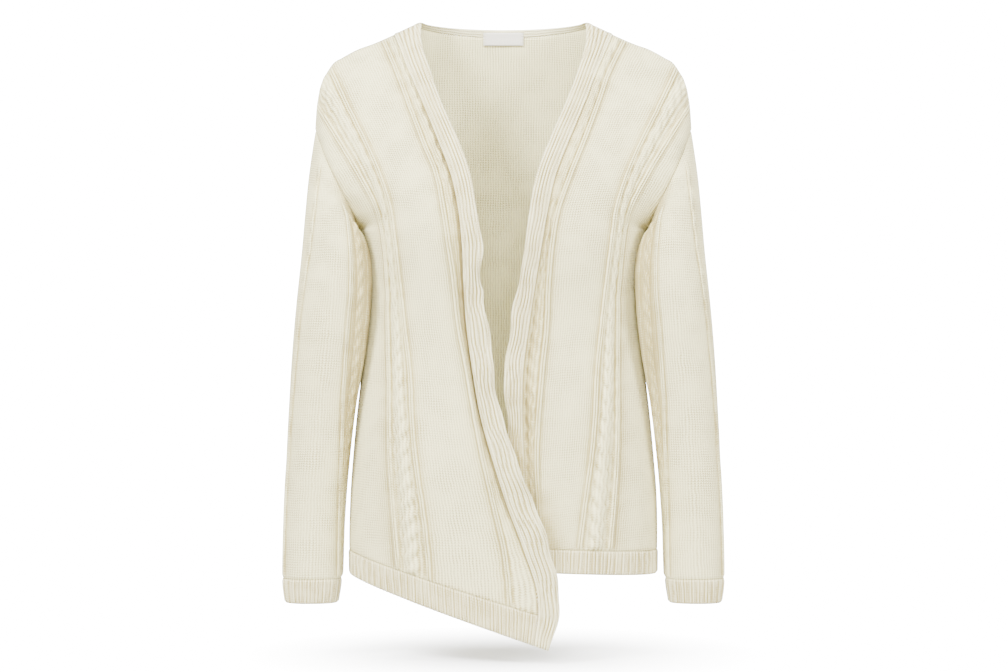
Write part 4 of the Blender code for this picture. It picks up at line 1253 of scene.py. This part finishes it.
class CARDIGAN_OT_hems(bpy.types.Operator):
    """Knit the ribbed hems of the fronts and the back"""
    bl_idname = "cardigan.hems"
    bl_label = "Hems"

    def execute(self, context):
        trim = knits()[1]
        for side in SIDE:
            front = whole_front(side)
            rows, columns = slice(front["panel_rows"], None), slice(PANEL_COLUMNS)
            ribbed_trim("hem_front_" + side + "_rib", front["base"][rows, columns],
                        front["normals"][rows, columns], trim, "hem_front_" + side)
        back = whole_back()
        rows = slice(back["panel_rows"], None)
        ribbed_trim("hem_back_rib", back["base"][rows], back["normals"][rows], trim, "hem_back")
        return {"FINISHED"}


@cache
def whole_back():
    """Points, normals and UV places of the whole back with its hem."""
    sizes = bpy.context.scene.cardigan_knit
    rows, panel_rows = body_rows(BACK_ARMHOLE_ROWS, BACK_BODY_ROWS)
    grid = back_grid(rows)
    down = down_length(grid)
    across = np.array([along(row) for row in grid])
    from_left, from_right = across, across[:, -1:] - across
    on_shoulder = np.ones(grid.shape[1], dtype=bool)
    on_shoulder[BACK_OUTER_COLUMNS + 1:-BACK_OUTER_COLUMNS - 1] = False

    def seam_normals():
        """Normals that run into the neighbours' along the armhole, shoulder and side seams."""
        normals = facing_out(grid_normals(grid), grid)
        for side, reach in (("left", from_left), ("right", from_right)):
            shared = read_ways(*armhole_ways(side, "back"), np.minimum(rows, 1))[:, None]
            targets = np.where((rows <= 1)[:, None, None], shared, flat_y(normals))
            normals = leaned(normals, targets, smooth(1 - reach / BLEND_REACH))
        lean = smooth(1 - down / BLEND_REACH) * on_shoulder[None]
        return leaned(normals, flat_y(normals), lean)

    normals = seam_normals()
    free = smooth(np.minimum(from_left, from_right) / 14) * smooth((down - 22) / 40)
    shift = free * folds(grid[:, :, 0], -grid[:, :, 2], BACK_FOLDS) * sizes.fold_depth
    shift += free * 0.9 * slack(grid[:, :, 0], -grid[:, :, 2], 3.0) * sizes.fold_depth
    grid = grid + shift[:, :, None] * normals
    on_seam = np.abs(grid[:, :, 1]) < SEAM_GAP / 2
    grid[:, :, 1] = np.where(on_seam, SEAM_GAP / 2, grid[:, :, 1])
    normals = seam_normals()
    uv = np.stack([across - across[:, -1:] / 2, down - down[BACK_ARMHOLE_ROWS]], axis=2)
    return {"base": grid, "normals": normals, "uv": uv, "panel_rows": panel_rows}


class CARDIGAN_OT_back(bpy.types.Operator):
    """Knit the plain back panel and the strip over its neck edge"""
    bl_idname = "cardigan.back"
    bl_label = "Back"

    def execute(self, context):
        plain, trim, _ = knits()
        back = whole_back()
        rows, middle = slice(back["panel_rows"]), slice(BACK_OUTER_COLUMNS, -BACK_OUTER_COLUMNS)
        base, normals = back["base"][rows].copy(), back["normals"][rows]
        neck = base[0, middle].copy()
        base[0, middle] += SEAM_GAP / 2 * unit(base[1, middle] - neck)
        plain_relief = np.zeros(base.shape[:2])
        outer, inner = walls(base, normals, plain_relief, edge_dips(plain_relief.shape, 0.5, 0.6, 0.5, 0.5))
        obj = cloth("back_panel", outer, inner, back["uv"][rows], 0.0)
        settle(obj, "back", plain)

        share = neck[:, 0] / (NECK_HALF_WIDTH + NECK_STRIP)
        bow = np.clip(1 - share ** 2, 0, 1)
        top = np.stack([share * NECK_HALF_WIDTH, np.maximum(NECK_DEPTH * np.sqrt(bow), SEAM_GAP / 2),
                        -2 * bow], axis=1)
        steps = np.linspace(0, 1, NECK_STRIP_ROWS)[:, None, None]
        low = neck + SEAM_GAP / 2 * unit(top - neck)
        strip = top[None] * (1 - steps) + low[None] * steps
        way = np.broadcast_to(normals[0, middle], strip.shape)
        puff = 0.9 * np.sin(np.pi * steps[:, :, 0]) * np.ones(strip.shape[:2])
        puff[0] -= 0.5
        puff[-1] -= 0.5
        outer = strip + puff[:, :, None] * way
        inner = strip - (WALL + 0.5 * np.maximum(puff, 0))[:, :, None] * way
        uv = np.stack([np.broadcast_to(NECK_STRIP * steps[:, :, 0], strip.shape[:2]),
                       np.broadcast_to(along(strip[-1]), strip.shape[:2])], axis=2)
        obj = cloth("neck_strip", outer, inner, uv, 0.0)
        settle(obj, "neck_band", trim)
        return {"FINISHED"}


def sleeve_relief(lines, angles, stations, down, mean_radius):
    """Ribs and cables raised on a sleeve, and how much of that is painted with shade."""
    sizes = bpy.context.scene.cardigan_knit
    rise = sizes.rib_rise * 1000
    turn = angles[:, :-1]

    def off(line):
        """Distance round the ring from a line of degrees."""
        return (turn - line) * mean_radius

    inside = smooth((down[:, :-1] - 5) / 22) * smooth((down[SLEEVE_ROWS] - down)[:, :-1] / 5)
    relief = sum(rib_pair(off(lines[:, k:k + 1]), rise) for k in (0, 1, 3))
    shaded = relief * inside
    cable_down = np.array([np.interp(lines[k, 2], angles[k], down[k]) for k in range(len(stations))])[:, None]
    hidden = 1 - 0.75 * smooth((stations[:, None] - 0.55) / 0.25)
    for line, shown in ((lines[:, 2:3], hidden), (BACK_CABLE_ANGLE, 1.0)):
        twist = cable_twist(off(line), cable_down, 6.0, sizes.cable_pitch * 1000, sizes.cable_rise * 900)
        relief += shown * twist
    for edge in (-14, 14):
        relief += rib_pair(off(BACK_CABLE_ANGLE + edge), rise * 0.8)
    relief *= inside
    shaded += 0.3 * (relief - shaded)
    return relief, shaded


@cache
def whole_sleeve(side):
    """Points, normals, relief, UV places and painted shade of a sleeve with its cuff."""
    sizes = bpy.context.scene.cardigan_knit
    share = np.linspace(0, 1, SLEEVE_ROWS + 1)
    tube = 0.25 * share ** 1.6 + 0.75 * share
    tube[0], tube[-1] = TUBE_START, TUBE_END
    stations = np.concatenate([tube, np.linspace(CUFF_START, CUFF_END, CUFF_ROWS)])
    grid, angles = sleeve_grid(side, stations)
    ring, turn = grid[:, :-1], angles[:, :-1]
    down = down_length(grid)

    def seam_normals(points):
        """Outward normals, running into the panels' round the armhole."""
        normals = grid_normals(points, closed=True)
        centre = points.mean(axis=1, keepdims=True)
        if np.sum(normals * (points - centre)) < 0:
            normals = -normals
        steps = np.mod(turn / 180, 2)
        near = smooth(1 - down[:, :-1] / BLEND_REACH)
        for face, pick in (("front", steps <= 1), ("back", steps > 1)):
            shares, ways = armhole_ways(side, face)
            at = np.where(steps <= 1, steps, 2 - steps)
            normals = leaned(normals, read_ways(shares, ways, at), near * pick)
        return normals

    normals = seam_normals(ring)
    mean_radius = np.linalg.norm(np.diff(grid, axis=1), axis=2).sum(axis=1)[:, None] / 360.0
    free = smooth(down[:, :-1] / 16)
    places = dict(SLEEVE_FOLDS)
    girth = float(mean_radius.mean())
    length = float(down.mean(axis=1)[SLEEVE_ROWS])
    for key, scale in (("angle", girth), ("to_angle", girth), ("t", length), ("to_t", length)):
        places[key] = places[key] * scale
    around = turn * girth
    station = stations[:, None] * length
    shift = free * (folds(around, station, places) + 0.7 * slack(around, station, 1.0)) * sizes.fold_depth
    shift = shift * (1 - smooth((np.abs(turn) - 112) / 36))
    ring = ring + shift[:, :, None] * normals
    normals = seam_normals(ring)

    lines = np.array([sleeve_lines(t) for t in stations])
    relief, shaded = sleeve_relief(lines, angles, stations, down, mean_radius)
    # Painted shade, darker between ribs and cables, over the inner side inside the front rib, and where the
    # underarm meets the body
    inner_side_shade = 0.8 * smooth((turn - lines[:, 1:2] - 1) / 8) * smooth((0.90 - stations[:, None]) / 0.25)
    painted_shades = [
        np.minimum(hollows(shaded) + inner_side_shade, 1.0),
        0.8 * bell(down[:, :-1], 14) * smooth((turn - 70) / 50) * smooth((200 - turn) / 40),
        0.75 * smooth((turn - 140) / 25) * smooth(1.6 - down[:, :-1] / 330),
    ]
    around = (angles - lines[:, 2:3]) * mean_radius
    uv = np.stack([around, down - down[SLEEVE_ROWS]], axis=2)
    return {"base": ring, "normals": normals, "relief": relief, "uv": uv, "hollow": np.maximum.reduce(painted_shades),
            "panel_rows": SLEEVE_ROWS + 1}


class CARDIGAN_OT_sleeves(bpy.types.Operator):
    """Knit the two sleeves"""
    bl_idname = "cardigan.sleeves"
    bl_label = "Sleeves"

    def execute(self, context):
        plain = knits()[0]
        for side in SIDE:
            sleeve = whole_sleeve(side)
            knit_piece("sleeve_" + side + "_tube", "sleeve_" + side, "stockinette_knit", plain, sleeve,
                       slice(sleeve["panel_rows"]), slice(None), closed=True, first_row=0.5, last_row=0.6)
        return {"FINISHED"}


class CARDIGAN_OT_cuffs(bpy.types.Operator):
    """Knit the two ribbed cuffs"""
    bl_idname = "cardigan.cuffs"
    bl_label = "Cuffs"

    def execute(self, context):
        trim = knits()[1]
        for side in SIDE:
            sleeve = whole_sleeve(side)
            rows = slice(sleeve["panel_rows"], None)
            base, normals = wrapped(sleeve["base"][rows]), wrapped(sleeve["normals"][rows])
            ribbed_trim("cuff_" + side + "_rib", base, normals, trim, "cuff_" + side, closed=True)
        return {"FINISHED"}


def inside_back(xs, drops):
    """Points and normals of the back at places across and below the middle of its neck edge."""
    back = whole_back()
    near_neck = slice(40)
    base, normals = back["base"][near_neck, ::-1], back["normals"][near_neck, ::-1]
    points = np.zeros((len(drops), len(xs), 3))
    ways = np.zeros(points.shape)
    for j, x in enumerate(xs):
        column = np.array([[np.interp(x, row[:, 0], row[:, k]) for k in (1, 2)] for row in base])
        way = np.array([[np.interp(x, row[:, 0], line[:, k]) for k in range(3)]
                        for row, line in zip(base, normals)])
        bow = 1 - (x / NECK_HALF_WIDTH) ** 2
        column = np.concatenate([[[NECK_DEPTH * math.sqrt(bow), -2 * bow]], column])
        way = np.concatenate([way[:1], way])
        points[:, j, 0] = x
        points[:, j, 1] = np.interp(drops, -column[:, 1], column[:, 0])
        points[:, j, 2] = -drops
        for k in range(3):
            ways[:, j, k] = np.interp(drops, -column[:, 1], way[:, k])
    return points, unit(ways)


class CARDIGAN_OT_label(bpy.types.Operator):
    """Weave the bare label inside the back neck and tack its ends"""
    bl_idname = "cardigan.label"
    bl_label = "Label"

    def execute(self, context):
        colours = context.scene.cardigan_colours
        width, height = LABEL_SIZE
        xs = np.linspace(width / 2, -width / 2, LABEL_COLUMNS)
        drops = np.linspace(LABEL_TOP, LABEL_TOP + height, LABEL_ROWS)
        points, ways = inside_back(xs, drops)
        lift = WALL + 0.9 + 0.5 * np.sin(np.pi * np.linspace(0, 1, len(xs)))[None] ** 0.5
        near = points - lift[:, :, None] * ways
        far = near - LABEL_THICK * ways
        across, down = np.meshgrid(np.linspace(0, width, len(xs)), np.linspace(0, height, len(drops)))
        obj = cloth("woven_label_tape", near, far, np.stack([across, down], axis=2), 0.0)
        tape = label_material("woven_taffeta_label", colours.label, colours.label_shade)
        settle(obj, "label", tape)

        bm = bmesh.new()
        for column, ahead in ((0, 1), (1, 2), (-2, -2), (-1, -1)):
            for row in range(0, len(drops), 2):
                way = points[row, ahead] - points[row, column - 1]
                middle = far[row, column] - 0.2 * ways[row, column]
                add_stitch(bm, middle, way, ways[row, column], TACK_LENGTH, TACK_RADIUS)
        add_sewing("label_tacks", bm)
        return {"FINISHED"}


def add_stitch(bm, middle, way, normal, length, radius):
    """Add one small rounded stitch that lies along a way."""
    forward = Vector(unit(np.asarray(way, dtype=float)))
    up = Vector(unit(np.asarray(normal, dtype=float)))
    aside = up.cross(forward).normalized()
    up = forward.cross(aside)
    turn = Matrix((forward, aside, up)).transposed().to_4x4()
    size = Matrix.Diagonal((length / 2 * MM, radius * MM, radius * 0.7 * MM, 1.0))
    matrix = Matrix.Translation(Vector(np.asarray(middle) * MM)) @ turn @ size
    bmesh.ops.create_icosphere(bm, subdivisions=1, radius=1.0, matrix=matrix)


def sew(bm, line, normals):
    """Add a row of linking stitches along a line of points."""
    reach = along(line)
    for k in range(int(reach[-1] / STITCH_PITCH)):
        at = (k + 0.5) * STITCH_PITCH
        here, ahead = at_lengths(line, reach, [at - 0.5, at + 0.5])
        normal = at_lengths(normals, reach, [at])[0]
        way = ahead - here
        way = way + STITCH_SLANT * np.cross(normal, way)
        middle = (here + ahead) / 2 - STITCH_SINK * normal
        add_stitch(bm, middle, way, normal, STITCH_LENGTH, STITCH_RADIUS)


def add_sewing(name, bm):
    """Make one object of a bmesh of stitches."""
    stitches = finished(name, bm)
    stitches.data.materials.append(knits()[2])
    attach(stitches, "root")


class CARDIGAN_OT_sewing(bpy.types.Operator):
    """Sew the seams: linking stitches at the shoulders, armholes, bands, hems and cuffs"""
    bl_idname = "cardigan.sewing"
    bl_label = "Sewing"

    def execute(self, context):
        bm = bmesh.new()
        for side in SIDE:
            front, sleeve = whole_front(side), whole_sleeve(side)
            panel, hem_row = slice(PANEL_COLUMNS), front["panel_rows"] - 1
            for seam in ((slice(None), PANEL_COLUMNS - 1), (hem_row, panel), (0, panel)):
                sew(bm, front["base"][seam], front["normals"][seam])
            base, normals = wrapped(sleeve["base"]), wrapped(sleeve["normals"])
            for row in (0, sleeve["panel_rows"] - 1):
                sew(bm, base[row], normals[row])
        back = whole_back()
        middle = slice(BACK_OUTER_COLUMNS, -BACK_OUTER_COLUMNS)
        for seam in ((back["panel_rows"] - 1, slice(None)), (0, middle)):
            sew(bm, back["base"][seam], back["normals"][seam])
        add_sewing("seam_stitches", bm)
        return {"FINISHED"}


class CARDIGAN_PT_pieces(bpy.types.Panel):
    """Lists the cardigan's pieces and its sizes"""
    bl_label = "Cardigan"
    bl_idname = "CARDIGAN_PT_pieces"
    bl_space_type = "VIEW_3D"
    bl_region_type = "UI"
    bl_category = "Cardigan"

    def draw(self, context):
        layout = self.layout
        for name, kind in GROUPS.items():
            for size in kind.__annotations__:
                layout.prop(getattr(context.scene, name), size)
        for operator in OPERATORS:
            layout.operator(operator.bl_idname)


GROUPS = {
    "cardigan_knit": CARDIGAN_PG_knit,
    "cardigan_colours": CARDIGAN_PG_colours,
    "cardigan_studio": CARDIGAN_PG_studio,
}
OPERATORS = (
    CARDIGAN_OT_stage, CARDIGAN_OT_back, CARDIGAN_OT_fronts, CARDIGAN_OT_bands, CARDIGAN_OT_hems,
    CARDIGAN_OT_sleeves, CARDIGAN_OT_cuffs, CARDIGAN_OT_label, CARDIGAN_OT_sewing,
)


def register():
    """Add the sizes, colours, operators and panel to Blender."""
    for name, group in GROUPS.items():
        bpy.utils.register_class(group)
        setattr(bpy.types.Scene, name, bpy.props.PointerProperty(type=group))
    for cls in (*OPERATORS, CARDIGAN_PT_pieces):
        bpy.utils.register_class(cls)


def unregister():
    """Take them out of Blender again."""
    for cls in (CARDIGAN_PT_pieces, *reversed(OPERATORS)):
        bpy.utils.unregister_class(cls)
    for name, group in GROUPS.items():
        delattr(bpy.types.Scene, name)
        bpy.utils.unregister_class(group)


def main():
    """Build the cardigan piece by piece."""
    register()
    bpy.ops.cardigan.stage()
    bpy.ops.cardigan.back()
    bpy.ops.cardigan.fronts()
    bpy.ops.cardigan.bands()
    bpy.ops.cardigan.hems()
    bpy.ops.cardigan.sleeves()
    bpy.ops.cardigan.cuffs()
    bpy.ops.cardigan.label()
    bpy.ops.cardigan.sewing()


if __name__ == "__main__":
    main()
